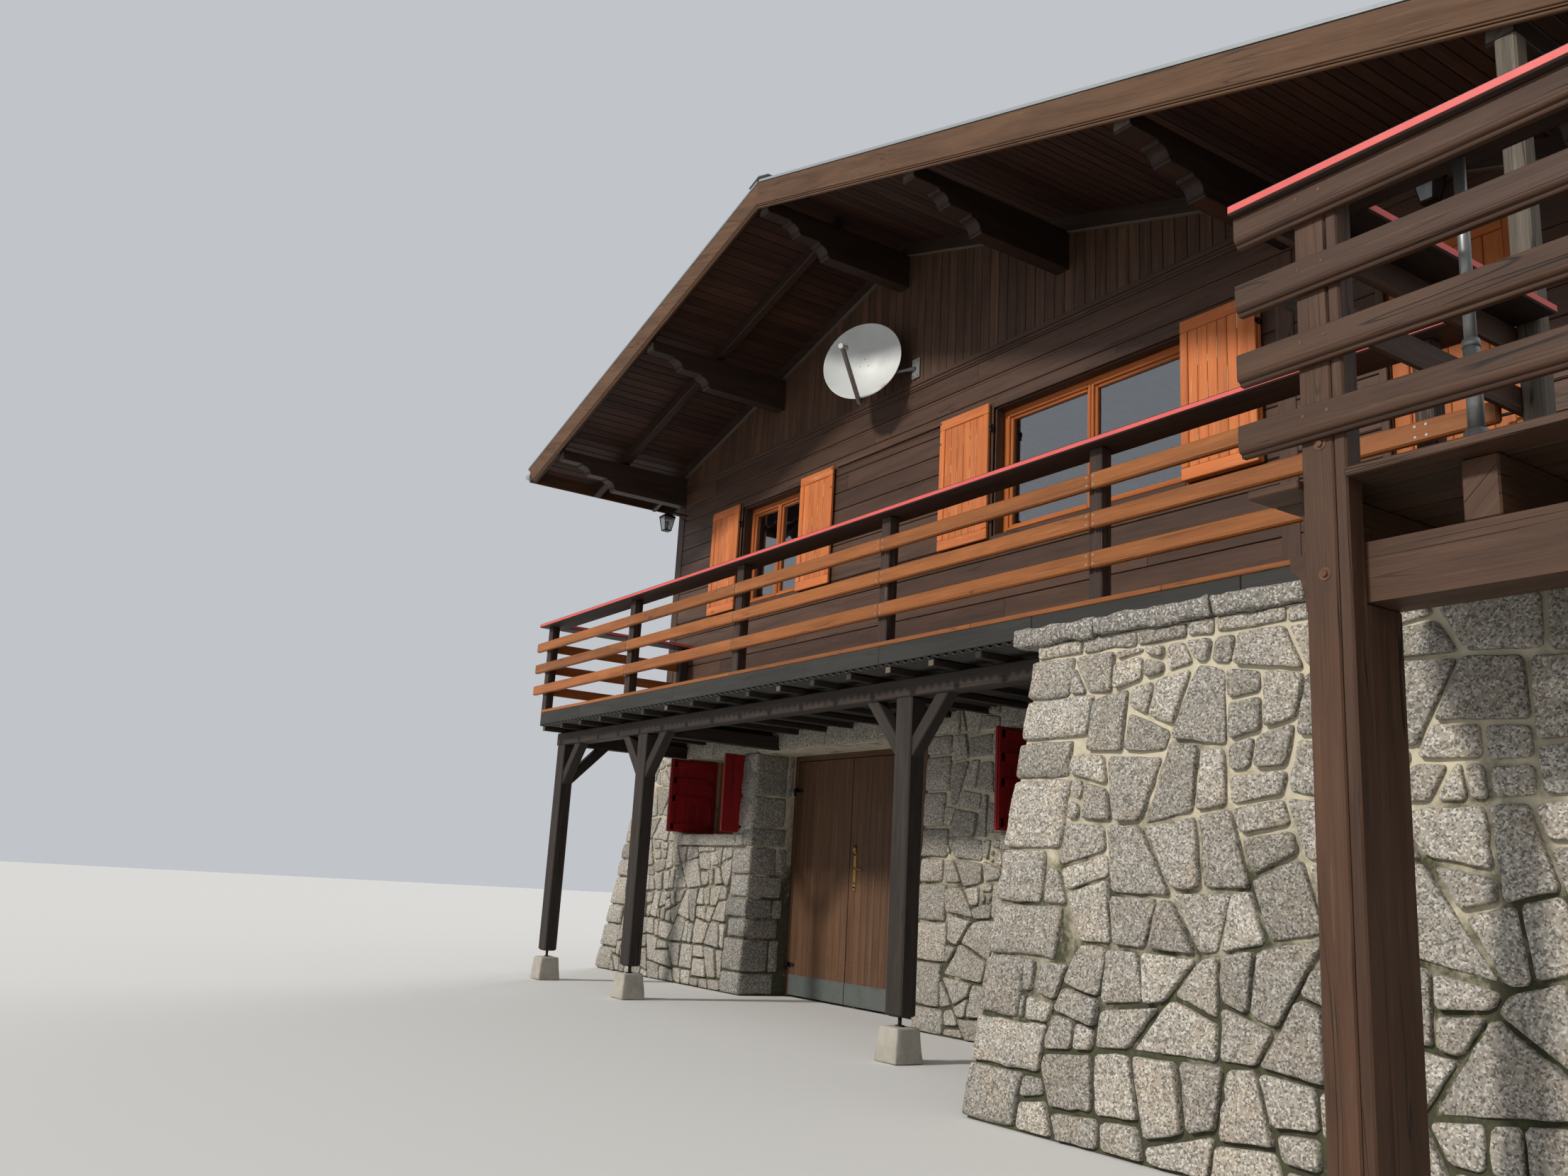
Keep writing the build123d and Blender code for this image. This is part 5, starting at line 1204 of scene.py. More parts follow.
fasciaSoup, railPosts, railSoup, screws, caps = newSoup(), newSoup(), newSoup(), newSoup(), newSoup()
for lo, hi in solidsOf("balcony_fascia"):
    addLengths(fasciaSoup, lo, hi, (-3.62, -1.79, 0.93, 2.3, 3.66), 0.0015, 0.003)
makePiece("balcony_fascia_boards", fasciaSoup, "fascia", "balcony_fascia")
addSolids(railPosts, "balcony_rail_posts", 0.006)
makePiece("balcony_rail_post_timbers", railPosts, "railPost", "balcony_rail_posts")
addSolids(railSoup, "balcony_rails", 0.008, lambda lo, hi: lo.z > 2.54)
for lo, hi in solidsOf("balcony_rails"):
    if lo.z < 2.54:
        addLengths(railSoup, lo, hi, (-2.75, -0.92, 1.8, 3.2), 0.001)
makePiece("balcony_rail_timbers", railSoup, "rail", "balcony_rails")
railTops = sorted({round(hi.z, 3) for lo, hi in solidsOf("balcony_rails") if lo.z > 2.54})
for x in sorted({round((lo.x + hi.x) / 2, 3) for lo, hi in solidsOf("balcony_rail_posts")}):
    for top in railTops:
        for dx in (-0.024, 0.024):
            for dz in (0.022, 0.068):
                addPin(screws, "y", x + dx, top - dz, (-1.624, -1.6262), 0.006, 10)
makePiece("rail_screws", screws, "galvanised")
for x0, x1, y0, y1, z0, z1 in ((-4.69, 4.87, -1.66, -1.431, 3.376, 3.41), (-4.69, -4.46, -1.43, -0.005, 3.376, 3.41),
                               (4.763, 7.56, -3.1, -2.781, 3.32, 3.358), (4.763, 5.083, -2.78, -1.545, 3.32, 3.358),
                               (7.16, 7.48, -2.78, -0.28, 3.32, 3.358)):  # handrail boards with painted edges
    long = x1 - x0 > y1 - y0
    addBox(caps, (x0, y0, z0), (x1, y1, z1), "x" if long else "y", 0.006)
    for a, b, c, d in (((x0 + 0.004, x1 - 0.004, y0 - 0.0012, y0 + 0.002),) if long else
                       ((x0 - 0.0012, x0 + 0.002, y0 + 0.004, y1 - 0.004), (x1 - 0.002, x1 + 0.0012, y0 + 0.004, y1 - 0.004))):
        addBox(caps, (a, c, z0 + 0.006), (b, d, z1 - 0.006), "x" if long else "y", 0.001, slot=1)
makePiece("handrail_boards", caps, "capTop redEdge", "handrails")
print("balcony done")

# terrace
terrace = {"front": -3.03, "split": -2.95, "back": -2.77, "posts": ((4.97, 5.126), (7.22, 7.376)), "top": 3.32, "beamFoot": 1.93,
           "left": 4.78, "leftOfPost": 4.968, "board": 0.145, "tone": 0.4}
terraceSoup = newSoup()
(lo, hi), = solidsOf("terrace_beam")
fall = hi.z - lo.z - 0.054
outline = [(lo.x + 0.002, hi.z), (lo.x, hi.z - 0.01), (lo.x + 0.004, hi.z - 0.05)]
outline += [(lo.x + 0.05 * s + 0.004, hi.z - 0.05 - fall * (1 - c)) for c, s in quarter(6)]
outline += [(lo.x + 0.06, lo.z), (hi.x - 0.06, lo.z)]
outline += [(hi.x - 0.05 * s - 0.004, hi.z - 0.05 - fall * (1 - c)) for c, s in reversed(quarter(6))]
outline += [(hi.x, hi.z - 0.045), (hi.x - 0.002, hi.z)]
ring, back = ([Vector((px, y, pz)) for px, pz in outline] for y in (lo.y, hi.y))
joinRings(terraceSoup, ring, back, axisX, terrace["tone"])
addFace(terraceSoup, ring, axisX, terrace["tone"])
addFace(terraceSoup, back[::-1], axisX, terrace["tone"])
addSolids(terraceSoup, "terrace_joists", 0.006)
for x0, x1 in terrace["posts"]:  # two front leaves up to the handrail, a rear one under the beam
    middle = (x0 + x1) / 2 + 0.034
    for a, b, y0, y1, z1, edge in ((x0, middle - 0.001, terrace["front"], terrace["split"], terrace["top"], 0.006),
                                   (middle + 0.001, x1, terrace["front"], terrace["split"], terrace["top"], 0.006),
                                   (x0, x1, terrace["split"] + 0.001, terrace["back"], terrace["beamFoot"], 0.007)):
        addBox(terraceSoup, (a, y0, 0), (b, y1, z1), "z", edge)
makePiece("terrace_frame_timbers", terraceSoup, "terrace", "terrace_beam terrace_joists terrace_posts")

terraceRails, terraceDeck, roofPosts, ironwork, tubeSoup = newSoup(), newSoup(), newSoup(), newSoup(), newSoup()
for lo, hi in solidsOf("terrace_rails"):
    tall, thick = hi.z - lo.z, min(hi.x - lo.x, hi.y - lo.y)
    # flat face with a hollow along the lower quarter
    shape = [(0.004, 0), (0, -0.004), (0, -tall * 0.7)]
    shape += [(0.014 * (1 - c) + 0.001, -tall * 0.7 - 0.004 - (tall * 0.3 - 0.01) * s * 0.72) for c, s in quarter(6)]
    shape += [(0.017, -tall + 0.004), (0.02, -tall), (thick, -tall), (thick, 0)]
    front, end = Vector((lo.x, lo.y, hi.z)), Vector((lo.x, hi.y, hi.z))
    a, along = axisX, axisY
    if hi.x - lo.x > hi.y - lo.y:
        end, a, along = Vector((hi.x, lo.y, hi.z)), axisY, axisX
    elif lo.x > 6:
        front.x = end.x = hi.x
        a = -axisX
    ring, back = ([place + a * p + Vector((0, 0, q)) for p, q in shape] for place in (front, end))
    addPrism(terraceRails, ring, back, *grainLooks(along, None, 0, 20))
makePiece("terrace_rail_timbers", terraceRails, "terrace", "terrace_rails")
lo, hi = solidsOf("decks")[-1]
y = lo.y
while y < hi.y - 0.03:
    end = min(y + terrace["board"], hi.y)
    spans = [(terrace["left"] if end < -1.688 else 4.93, hi.x)]
    if y < terrace["split"]:
        spans = [(terrace["left"], terrace["leftOfPost"]), (5.128, 7.218), (7.378, hi.x)]
    for a, b in spans:
        addBox(terraceDeck, (a, y, lo.z + 0.001), (b, end - 0.007, hi.z), "x", 0.004)
    y = end
makePiece("terrace_deck_boards", terraceDeck, "terrace")
addSolids(roofPosts, "roof_post", 0.008)
makePiece("weathered_posts", roofPosts, "grey", "roof_post")
for lo, hi in solidsOf("terrace_posts"):
    if lo.y < -2.96:
        cx = (lo.x + hi.x) / 2
        for z in (2.02, 2.44):
            addBolt(ironwork, (cx - 0.01, lo.y, z), (0, -1, 0), 0.011)
        for railLo, railHi in solidsOf("terrace_rails"):
            if railHi.x - railLo.x > 1:
                for dx in (-0.04, 0.045):
                    addPin(ironwork, "y", cx + dx, railHi.z - 0.035, (railLo.y + 0.001, railLo.y - 0.0012), 0.006, 10)
makePiece("terrace_bolts", ironwork, "rusty")

(lo, hi), = solidsOf("steel_tube")
cx, cy = (lo.x + hi.x) / 2, (lo.y + hi.y) / 2
for marks, radius, sides in (((lo.z, lo.z + 0.008), 0.064, 28),  # flange, socket, sleeve, collar, tube
                             ((lo.z + 0.008, lo.z + 0.07, lo.z + 0.076), [0.036, 0.036, 0.03], 28),
                             ((lo.z + 0.05, lo.z + 0.352, lo.z + 0.355), [0.0235, 0.0235, 0.021], 24),
                             ((lo.z + 0.335, lo.z + 0.358, lo.z + 0.36), [0.0255, 0.0255, 0.024], 24),
                             ((lo.z + 0.3, hi.z - 0.003, hi.z), [0.018, 0.018, 0.0155], 24)):
    addPin(tubeSoup, "z", cx, cy, marks, radius, sides)
for x, y in circle(0.05, 4, math.pi / 4):
    addBolt(tubeSoup, (cx + x, cy + y, lo.z + 0.008), (0, 0, 1), 0.006)
makePiece("galvanised_tube", tubeSoup, "galvanised", "steel_tube")
print("terrace done")


# windows, doors and shutters
def addFrame(soup, x0, x1, y0, y1, z0, z1, bar, edge=0.004, slot=0, axis="x"):  # four boards around an opening
    for a, b, c, d, grain in ((x0, x0 + bar, z0, z1, "z"), (x1 - bar, x1, z0, z1, "z"),
                              (x0 + bar, x1 - bar, z0, z0 + bar, axis), (x0 + bar, x1 - bar, z1 - bar, z1, axis)):
        lo, hi = ((a, y0, c), (b, y1, d)) if axis == "x" else ((y0, a, c), (y1, b, d))
        addBox(soup, lo, hi, grain, edge, slot=slot)


window = {"frame": 0.05, "casing": 0.048, "proud": 0.024, "reveal": 0.012, "gap": 0.002}
windowSoup, casingSoup, doorSoup = newSoup(), newSoup(), newSoup()
wide, gap = window["casing"], window["gap"]
for lo, hi in [b for b in frames if b[1].z > h]:
    if hi.x - lo.x > 0.3:
        wall, out = (0.0, -1) if lo.y < 4 else (8.0, 1)
        middle = (lo.x + hi.x) / 2
        step = out * 0.012
        # outer frame, then in each half a stepped moulding and a sash
        addFrame(windowSoup, lo.x, hi.x, lo.y, hi.y, lo.z, hi.z, window["frame"])
        for a, b in ((lo.x + 0.048, middle - gap), (middle + gap, hi.x - 0.048)):
            addFrame(windowSoup, a, b, lo.y + step, hi.y + step, lo.z + 0.048, hi.z - 0.048, 0.026, 0.005)
            addFrame(windowSoup, a + 0.02, b - 0.02, lo.y + 0.006, hi.y - 0.008, lo.z + 0.066, hi.z - 0.066, 0.03, 0.006)
        # dark casing boards around the opening, and boards on its reveal
        y0, y1 = sorted((wall, wall + out * window["proud"]))
        addFrame(casingSoup, lo.x - wide, hi.x + wide, y0, y1, lo.z - wide, hi.z + wide, wide)
        y0, y1 = sorted((wall, lo.y if out < 0 else hi.y))
        thin = window["reveal"]
        for a, b, c, d, grain in ((lo.x, lo.x + thin, lo.z, hi.z, "z"), (hi.x - thin, hi.x, lo.z, hi.z, "z"),
                                  (lo.x, hi.x, lo.z, lo.z + thin, "x"), (lo.x, hi.x, hi.z - thin, hi.z, "x")):
            addBox(casingSoup, (a, y0, c), (b, y1, d), grain, 0.002)
    else:
        wall, out = (-5.0, -1) if lo.x < 0 else (5.0, 1)
        middle = (lo.y + hi.y) / 2
        addFrame(windowSoup, lo.y, hi.y, lo.x, hi.x, lo.z, hi.z, window["frame"], axis="y")
        for a, b in ((lo.y + 0.045, middle - gap), (middle + gap, hi.y - 0.045)):
            addFrame(windowSoup, a, b, lo.x + 0.008, hi.x - 0.008, lo.z + 0.045, hi.z - 0.045, 0.035, axis="y")
        a, b = sorted((wall, wall + out * window["proud"]))
        addFrame(casingSoup, lo.y - wide, hi.y + wide, a, b, lo.z - wide, hi.z + wide, wide, axis="y")
for lo, hi in [b for b in frames if b[1].z < h]:
    middle = (lo.x + hi.x) / 2
    addFrame(windowSoup, lo.x, hi.x, lo.y, hi.y, lo.z, hi.z, 0.048)
    for a, b in ((lo.x + 0.044, middle - gap), (middle + gap, hi.x - 0.044)):
        addFrame(windowSoup, a, b, lo.y + 0.006, hi.y - 0.006, lo.z + 0.044, hi.z - 0.044, 0.04, 0.006)
makePiece("window_woodwork", windowSoup, "sash", "window_frames")
makePiece("window_casing_boards", casingSoup, "wall", "window_casings")

door = {"frame": 0.1, "railFoot": 0.92, "railTop": 1.02, "boards": 5, "handle": 1.06}
lo, hi = (Vector(v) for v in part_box("balcony_door"))
addFrame(doorSoup, lo.x, hi.x, lo.y, hi.y, lo.z, hi.z, door["frame"], 0.006)
addBox(doorSoup, (lo.x + 0.1, lo.y, lo.z + door["railFoot"]), (hi.x - 0.1, hi.y, lo.z + door["railTop"]), "x", 0.006)
for k in range(door["boards"]):
    a = lo.x + 0.1 + k * (hi.x - lo.x - 0.2) / door["boards"]
    b = a + (hi.x - lo.x - 0.2) / door["boards"] - 0.003
    for z0, z1 in ((lo.z + 0.1, lo.z + door["railFoot"]), (lo.z + door["railTop"], hi.z - 0.1)):
        addBox(doorSoup, (a, lo.y + 0.012, z0), (b, hi.y - 0.012, z1), "z", 0.004)
z = lo.z + door["handle"]
addTube(doorSoup, [(hi.x - 0.05, lo.y + 0.002, z), (hi.x - 0.05, lo.y - 0.04, z), (hi.x - 0.15, lo.y - 0.045, z)], 0.009, 12, 1)
addFrame(doorSoup, lo.x - 0.05, hi.x + 0.05, -0.03, 0.0, lo.z - 0.045, hi.z + 0.05, 0.05, slot=2)
makePiece("balcony_door_leaf", doorSoup, "sash iron wall", "balcony_door")

orange = {"rail": 0.085, "stile": 0.062, "hinges": (3.85, 4.586), "hinge": 0.034, "front": -0.059, "back": -0.031, "pin": -0.045}


def addPlankShutter(soup, lo, hi, planks):  # rails and stiles around recessed planks
    x0, x1, z0, z1 = lo.x + orange["stile"], hi.x - orange["stile"], lo.z + orange["rail"], hi.z - orange["rail"]
    for a, b, c, d, grain in ((lo.x, hi.x, z1, hi.z, "x"), (lo.x, hi.x, lo.z, z0, "x"), (lo.x, x0, z0, z1, "z"), (x1, hi.x, z0, z1, "z")):
        addBox(soup, (a, lo.y, c), (b, hi.y, d), grain, 0.005)
    for number, (a, b) in enumerate(divided(x0, x1, planks)):
        addBox(soup, (a + 0.0012, lo.y + 0.007, z0), (b - 0.0012, hi.y - 0.007, z1), "z", 0.004)
        z = z0 + random.uniform(0, 0.2)
        while number and z < z1 - 0.05:  # bare wood along the joints
            top = min(z + random.uniform(0.03, 0.2), z1)
            left = a + random.uniform(-0.003, 0.001)
            addBox(soup, (left, lo.y + 0.0064, z), (left + random.uniform(0.002, 0.0045), lo.y + 0.009, top), "z", 0.0006, slot=3)
            z = top + random.uniform(0.03, 0.35)


for label, side in (("small_left", -1), ("small_right", 1), ("wide_left", -1), ("wide_right", 1), ("wide_folded", 0)):
    nodeName = "orange_shutter_" + label
    soup = newSoup()
    lo, hi = (Vector(v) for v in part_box(nodeName))
    leafLo, leafHi = Vector((lo.x, orange["front"], lo.z)), Vector((hi.x, orange["back"], hi.z))
    if side < 0:
        leafHi.x = (hi.x - 0.012) - 0.014
    elif side > 0:
        leafLo.x = lo.x + 0.012 + 0.014
    else:
        leafLo, leafHi = lo, Vector((hi.x - 0.012, lo.y + 0.028, hi.z))
    pinX, outerX = (hi.x - 0.012, lo.x) if side < 0 else (lo.x + 0.012, hi.x)
    for z in orange["hinges"]:
        if side:
            addBetween(soup, (pinX, pinX + side * 0.03), (-0.05, -0.04), (z + 0.001, z + 0.033))
            addPin(soup, "z", pinX, orange["pin"], (z, z + orange["hinge"]), 0.0115, 18, 1)
            addBetween(soup, (pinX + side * 0.014, pinX + side * 0.3), (-0.0315, -0.0275), (z + 0.003, z + 0.031))
        else:
            addBetween(soup, (hi.x - 0.012, hi.x - 0.009), (lo.y, hi.y), (z, z + orange["hinge"]), "z")
            addPin(soup, "z", hi.x - 0.004, (lo.y + hi.y) / 2, (z - 0.004, z + 0.038), 0.0062, 14, 1)
    addPlankShutter(soup, leafLo, leafHi, 5 if leafHi.x - leafLo.x < 0.56 else 6)
    if side:  # pale hooks near the top, a black clasp below
        x, y = outerX - side * 0.014, leafLo.y
        for half, front, z0, z1, grain, slot in ((0.011, 0.004, hi.z - 0.028, hi.z - 0.012, "x", 2),
                                                 (0.008, 0.004, hi.z - 0.21, hi.z - 0.19, "x", 2),
                                                 (0.009, 0.006, lo.z + 0.14, lo.z + 0.19, "z", 1)):
            addBetween(soup, (x - half, x + half), (y - front, y + 0.002), (z0, z1), grain, 0.002, slot)
    body = nodeName if nodeName in frame["bodies"] else "house"
    makePiece(nodeName + "_boards", soup, "orange iron endGrain bare", nodeName, body)
print("orange shutters done")

red = {"planks": 5, "inner": 0.292, "hinges": (1.455 + 0.11, 2.185 - 0.11 - 0.034), "pin": 0.298}
for number, label, side in ((1, "left", 1), (1, "right", -1), (2, "left", 1), (2, "right", -1)):
    nodeName = "red_shutter_%d_%s" % (number, label)
    soup = newSoup()
    lo, hi = (Vector(v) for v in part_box(nodeName))
    pinX = lo.x + 0.012 if side > 0 else hi.x - 0.012
    near = pinX + side * 0.012
    far = near + side * 0.025
    ledge = (far, far + side * 0.012)
    # planks along the leaf with ledges and a frame on the side that shows when open
    for y0, y1 in divided(lo.y, red["inner"], red["planks"]):
        addBetween(soup, (near, far), (y0 + 0.001, y1 - 0.001), (lo.z, hi.z), "z", 0.003, 0)
    for zs in ((lo.z + 0.02, lo.z + 0.085), (lo.z + 0.3, lo.z + 0.365), (hi.z - 0.25, hi.z - 0.185), (hi.z - 0.085, hi.z - 0.02)):
        addBetween(soup, ledge, (lo.y + 0.03, red["inner"] - 0.06), zs, "y", 0.003, 0)
    for ys in ((lo.y + 0.01, lo.y + 0.065), (red["inner"] - 0.075, red["inner"] - 0.03)):
        addBetween(soup, ledge, ys, (lo.z + 0.01, hi.z - 0.01), "z", 0.003, 0)
    for z in red["hinges"]:
        addPin(soup, "z", pinX, red["pin"], (z, z + 0.034), 0.0118, 18, 1)
        addBetween(soup, (near, near - side * 0.004), (0.0, 0.296), (z + 0.003, z + 0.031), "y")
        for k in range(3):
            addTube(soup, [(near - side * out, 0.05 + 0.08 * k, z + 0.017) for out in (0.004, 0.007)], [0.006, 0.004], 8, 1)
    body = nodeName if nodeName in frame["bodies"] else "house"
    makePiece(nodeName + "_boards", soup, "red iron", nodeName, body)
print("red shutters done")

gate = {"plank": 0.098, "kick": 0.18, "front": 0.39, "back": 0.43, "foot": 0.02, "top": 2.144, "rivets": (0.32, 0.36, 1.02, 1.06),
        "leaves": (("left", -2.914, -2.039, -2.94, 1), ("middle", -2.029, -1.095, -1.092, -1))}


def addGatePlanks(soup, x0, x1, z1):
    z0, front = gate["foot"], gate["front"]
    count = max(1, round((x1 - x0) / gate["plank"]))
    for a, b in divided(x0, x1, count):
        addBox(soup, (a + 0.001, front + 0.001, z0), (b - 0.001, gate["back"], z1), "z", 0.0035)
        for z in (*[z0 + up for up in gate["rivets"]], z1 - 0.4, z1 - 0.36):
            addPin(soup, "y", (a + b) / 2, z, (front + 0.002, front - 0.0015), [0.0045, 0.003], 8, 1)
    addBox(soup, (x0, front - 0.002, z0), (x1, front + 0.002, z0 + gate["kick"]), "x", 0.0008, slot=2)
    for k in range(count * 2):
        for z in (z0 + 0.012, z0 + gate["kick"] - 0.012):
            addPin(soup, "y", x0 + (x1 - x0) * (k + 0.5) / (count * 2), z, (front - 0.001, front - 0.0032), [0.004, 0.0026], 8, 1)


frameSoup = newSoup()
for x0, x1, z0, grain in ((-2.97, -2.92, 0.0, "z"), (-0.52, -0.47, 0.0, "z"), (-2.92, -0.52, 2.15, "x")):
    addBox(frameSoup, (x0, 0.388, z0), (x1, gate["back"], 2.2), grain, 0.005)
addGatePlanks(frameSoup, -1.089, -0.52, 2.15)
makePiece("garage_frame_boards", frameSoup, "gate iron kick", "garage_frame")
for label, x0, x1, pinX, side in gate["leaves"]:
    nodeName = "garage_leaf_" + label
    soup = newSoup()
    addGatePlanks(soup, x0, x1, gate["top"])
    end = x0 if side > 0 else x1
    for z in (0.27, gate["top"] - 0.25 - 0.034):
        addPin(soup, "z", pinX, 0.37, (z, z + 0.034), 0.0118, 18, 1)
        for xs, ys, edge in (((pinX, end + side * 0.036), (0.365, 0.375), 0.001),
                             ((end + side * 0.012, end + side * 0.036), (0.365, 0.39), 0.001),
                             ((end, end + side * 0.09), (0.3825, 0.3905), 0.0015)):
            addBetween(soup, xs, ys, (z + 0.001, z + 0.033), "x", edge)
        for k in range(2):
            addPin(soup, "y", end + side * (0.052 + 0.024 * k), z + 0.017, (0.3826, 0.3795), [0.006, 0.004], 10, 1)
    if label == "middle":
        # a long brass plate with rounded ends, its lever handle and a padlock above
        x = -1.944
        addBox(soup, (-1.962, 0.3825, 1.0), (-1.926, 0.3905, 1.3), "z", 0.0015, slot=3)
        for z in (1.0, 1.3):
            addPin(soup, "y", x, z, (0.3905, 0.3825), 0.018, 24, 3)
        addPin(soup, "y", x, 1.17, (0.384, 0.3735, 0.3705), [0.013, 0.011, 0.007], 18, 3)
        addTube(soup, [(x, 0.373, 1.17), (-1.9, 0.3725, 1.171), (-1.86, 0.3735, 1.164), (-1.838, 0.375, 1.156)],
                [0.0072, 0.0066, 0.0062, 0.005], 14, 3)
        addPin(soup, "y", x, 1.045, (0.3835, 0.3805), [0.011, 0.009], 18, 1)
        addBox(soup, (-1.966, 0.371, 1.315), (-1.93, 0.3885, 1.352), "z", 0.004, slot=3)
        bow = [(-1.948 + x, 0.38, 1.362 + z) for x, z in circle(0.0125, 9, 0, math.pi * 9 / 8)]
        addTube(soup, [(-1.9355, 0.38, 1.345)] + bow + [(-1.9605, 0.38, 1.345)], 0.003, 10, 1)
    makePiece(nodeName + "_boards", soup, "gate iron kick brass", nodeName, nodeName)
print("garage gate done")

# satellite dish and lanterns
dish = {"centre": Vector((-1.2, -0.33, 5.51)), "turn": math.radians(30), "lift": math.radians(6), "sides": 56, "armZ": 5.4,
        "profile": [(0.0, -0.06), (0.06, -0.0585), (0.12, -0.0535), (0.18, -0.0455), (0.24, -0.0345), (0.3, -0.0205),
                    (0.35, -0.0062), (0.362, -0.002), (0.367, 0.001), (0.37, -0.001), (0.3695, -0.006), (0.363, -0.0062),
                    (0.35, -0.0105), (0.3, -0.0245), (0.24, -0.0385), (0.18, -0.0495), (0.12, -0.0575), (0.06, -0.0615),
                    (0.0, -0.063)]}
turn, lift = dish["turn"], dish["lift"]
facing = Vector((math.sin(turn) * math.cos(lift), -math.cos(turn) * math.cos(lift), math.sin(lift)))
across = Vector((math.cos(turn), math.sin(turn), 0))
upward = facing.cross(across)


def dishAt(x, y, z):
    return dish["centre"] + across * x + upward * y + facing * z


dishSoup = newSoup()
rings = [[dishAt(x, y, z) for x, y in circle(r, dish["sides"])] for r, z in dish["profile"]]
for near, far in zip(rings, rings[1:]):
    joinRings(dishSoup, far, near, smooth=True)
for points, radius, sides, slot in (
        [([(0, 0, -0.0635), (0, 0, -0.14)], 0.052, 28, 1)] +  # hub, its bolts, the foot of the arm, the receiver
        [([(x, y, -0.061), (x, y, -0.0565)], [0.007, 0.005], 10, 1) for x, y in circle(0.045, 3, math.pi / 2)] +
        [([(0, -0.03, -0.12), (0, -0.2, -0.1), (0, -0.37, -0.06), (0, -0.4, -0.035)], 0.015, 16, 1),
         ([(0, -0.095, 0.445), (0, -0.09, 0.43), (0, -0.08, 0.39), (0, -0.07, 0.365), (0, -0.065, 0.35)],
          [0.022, 0.024, 0.024, 0.029, 0.03], 22, 0)]):
    addTube(dishSoup, [dishAt(*p) for p in points], radius, sides, slot)
addBeam(dishSoup, dishAt(0, -0.4, -0.035), dishAt(0, -0.08, 0.42), 0.034, 0.034, across, slot=1)
rear = dishAt(0, 0, -0.0615 - 0.06)
elbow = Vector((rear.x, rear.y, dish["armZ"]))
wallEnd = Vector((-0.82, -0.028, dish["armZ"]))
addTube(dishSoup, [wallEnd, wallEnd.lerp(elbow, 0.5), elbow.lerp(wallEnd, 0.06), elbow, elbow + Vector((0, 0, 0.03)),
                   rear + Vector((0, 0, 0.04))], 0.0175, 18, 2)
addBox(dishSoup, (-0.87, -0.03, 5.31), (-0.77, -0.015, 5.49), "z", 0.003, slot=2)
for z in (5.335, 5.465):
    for dx in (-0.03, 0.03):
        addBolt(dishSoup, (-0.82 + dx, -0.03, z), (0, -1, 0), 0.008, 2)
makePiece("dish_and_arm", dishSoup, "dish dishArm galvanised", "satellite_dish")

lamp = {"low": 0.042, "high": 0.068, "foot": 0.012, "head": 0.15, "tall": 0.21, "steps": 5, "step": 0.0095}
lampSoup = newSoup()
half0, half1 = lamp["low"], lamp["high"]
for lo, hi in solidsOf("lanterns"):
    cx, cy, z1 = (lo.x + hi.x) / 2, lo.y + 0.07, lo.z + lamp["tall"]
    base0, top0 = lo.z + lamp["foot"], lo.z + lamp["head"]
    addBox(lampSoup, (cx - half0, cy - half0, lo.z), (cx + half0, cy + half0, base0), "x", 0.003)
    for sx, sy in ((-1, -1), (-1, 1), (1, -1), (1, 1)):
        addBeam(lampSoup, (cx + sx * (half0 - 0.004), cy + sy * (half0 - 0.004), base0 - 0.004),
                (cx + sx * (half1 - 0.006), cy + sy * (half1 - 0.006), top0), 0.007, 0.007, axisX, edge=0.001)
    roofs = [(half1, top0 - 0.004, top0 + 0.008)]  # the head plate, then its stepped roof
    for k in range(lamp["steps"]):
        half = half1 * (1 - k / 4) + 0.02 * (k / 4)
        roofs.append((half, top0 + 0.008 + k * lamp["step"], top0 + 0.0175 + k * lamp["step"]))
    for half, low, high in roofs:
        addBox(lampSoup, (cx - half, cy - half, low), (cx + half, cy + half, high), "x", 0.003)
    for side in range(4):
        turnBy = Matrix.Rotation(math.pi / 2 * side, 3, "Z")
        pane = [Vector((-half0 + 0.008, -half0 + 0.005, 0)), Vector((half0 - 0.008, -half0 + 0.005, 0)),
                Vector((half1 - 0.012, -half1 + 0.007, top0 - base0)), Vector((-half1 + 0.012, -half1 + 0.007, top0 - base0))]
        pane, back = ([turnBy @ (p + Vector((0, y, 0))) + Vector((cx, cy, base0)) for p in pane] for y in (0, 0.002))
        addFace(lampSoup, pane, slot=1)
        addFace(lampSoup, back[::-1], slot=1)
        joinRings(lampSoup, back, pane, slot=1)
    addPin(lampSoup, "z", cx, cy, (base0, base0 + 0.05, base0 + 0.085, base0 + 0.1), [0.012, 0.013, 0.022, 0.012], 16, 2)
    addTube(lampSoup, [(cx, cy, z1 - 0.004), (cx, cy, z1 + 0.012), (cx, cy + 0.03, z1 + 0.018), (cx, -0.01, z1 + 0.012)], 0.007, 12)
    addBox(lampSoup, (cx - 0.03, -0.012, z1 - 0.055), (cx + 0.03, 0.0, z1 + 0.055), "z", 0.003)
    addTube(lampSoup, [(cx, -0.012, z1 - 0.04), (cx, -0.05, z1 - 0.045), (cx, -0.085, z1 - 0.02), (cx, -0.1, z1 + 0.01)], 0.005, 10)
makePiece("wall_lanterns", lampSoup, "iron lampGlass dish", "lanterns")
print("fixtures done")

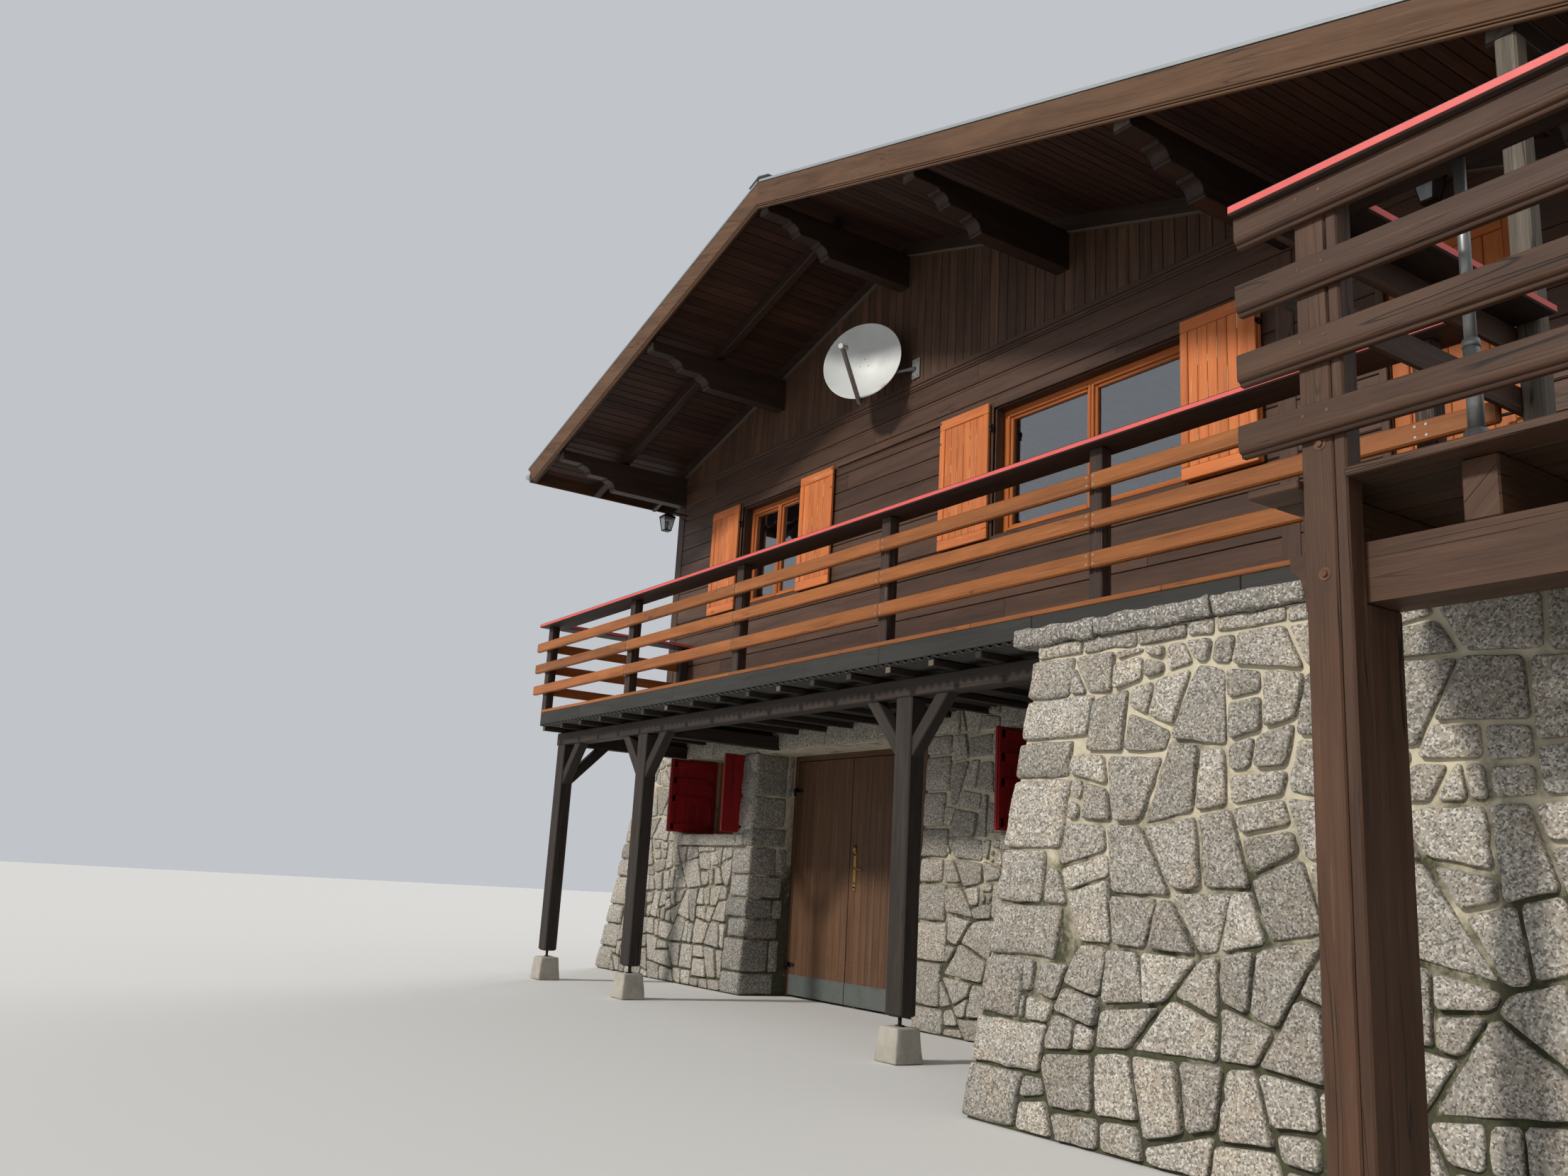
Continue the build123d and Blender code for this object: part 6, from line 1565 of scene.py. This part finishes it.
# floor, backdrop, lights and camera
studio = {"reach": 60, "floor": "c8c7c4", "world": (0.86, 0.89, 0.94, 1), "strength": 0.62, "lens": 29.41}
ground, groundTree, groundShader = startMaterial("paleFloor")
groundShader.inputs["Base Color"].default_value = ink(studio["floor"])
groundShader.inputs["Roughness"].default_value = 0.95
mesh = bpy.data.meshes.new("floor")
mesh.from_pydata([(sx * studio["reach"], sy * studio["reach"], -0.002) for sx, sy in ((-1, -1), (1, -1), (1, 1), (-1, 1))],
                 [], [(0, 1, 2, 3)])
mesh.materials.append(ground)
floorPiece = bpy.data.objects.new("floor", mesh)
bpy.context.scene.collection.objects.link(floorPiece)

world = bpy.data.worlds.new("studio")
bpy.context.scene.world = world
world.use_nodes = True
backdrop = world.node_tree.nodes["Background"]
backdrop.inputs["Color"].default_value = studio["world"]
backdrop.inputs["Strength"].default_value = studio["strength"]


def addLight(name, kind, place, target, power, size, tint):
    data = bpy.data.lights.new(name, kind)
    data.energy = power
    data.color = tint
    if kind == "AREA":
        data.size = size
    else:
        data.angle = size
    lamp = bpy.data.objects.new(name, data)
    lamp.location = place
    lamp.rotation_euler = (Vector(target) - Vector(place)).to_track_quat("-Z", "Y").to_euler()
    lamp.visible_glossy = kind == "SUN"  # the panes mirror the sky, not a lamp
    bpy.context.scene.collection.objects.link(lamp)


addLight("key", "SUN", (-1.5, -15, 9.5), (0, 0, 0), 2.9, math.radians(6), (1.0, 0.955, 0.89))
addLight("fill", "AREA", (15, -9, 8), (2, 0, 3), 260, 9, (0.97, 0.98, 1.0))
addLight("back", "SUN", (-8, 16, 12), (0, 4, 2), 0.9, math.radians(30), (0.95, 0.97, 1.0))

cameraData = bpy.data.cameras.new("camera")
cameraData.sensor_width = 36
cameraData.lens = studio["lens"]
cameraData.clip_end = 300
camera = bpy.data.objects.new("camera", cameraData)
right = Vector((0.54895969, 0.83385412, 0.05771103))
forward = Vector((-0.82089657, 0.52485165, 0.22507679))
up = Vector((0.15739148, -0.17093287, 0.97263039))
camera.matrix_world = Matrix(((right.x, up.x, -forward.x, 7.34), (right.y, up.y, -forward.y, -6.46),
                              (right.z, up.z, -forward.z, 1.0), (0, 0, 0, 1)))
bpy.context.scene.collection.objects.link(camera)
bpy.context.scene.camera = camera
bpy.context.scene.view_settings.view_transform = "Standard"

print("scene ready")
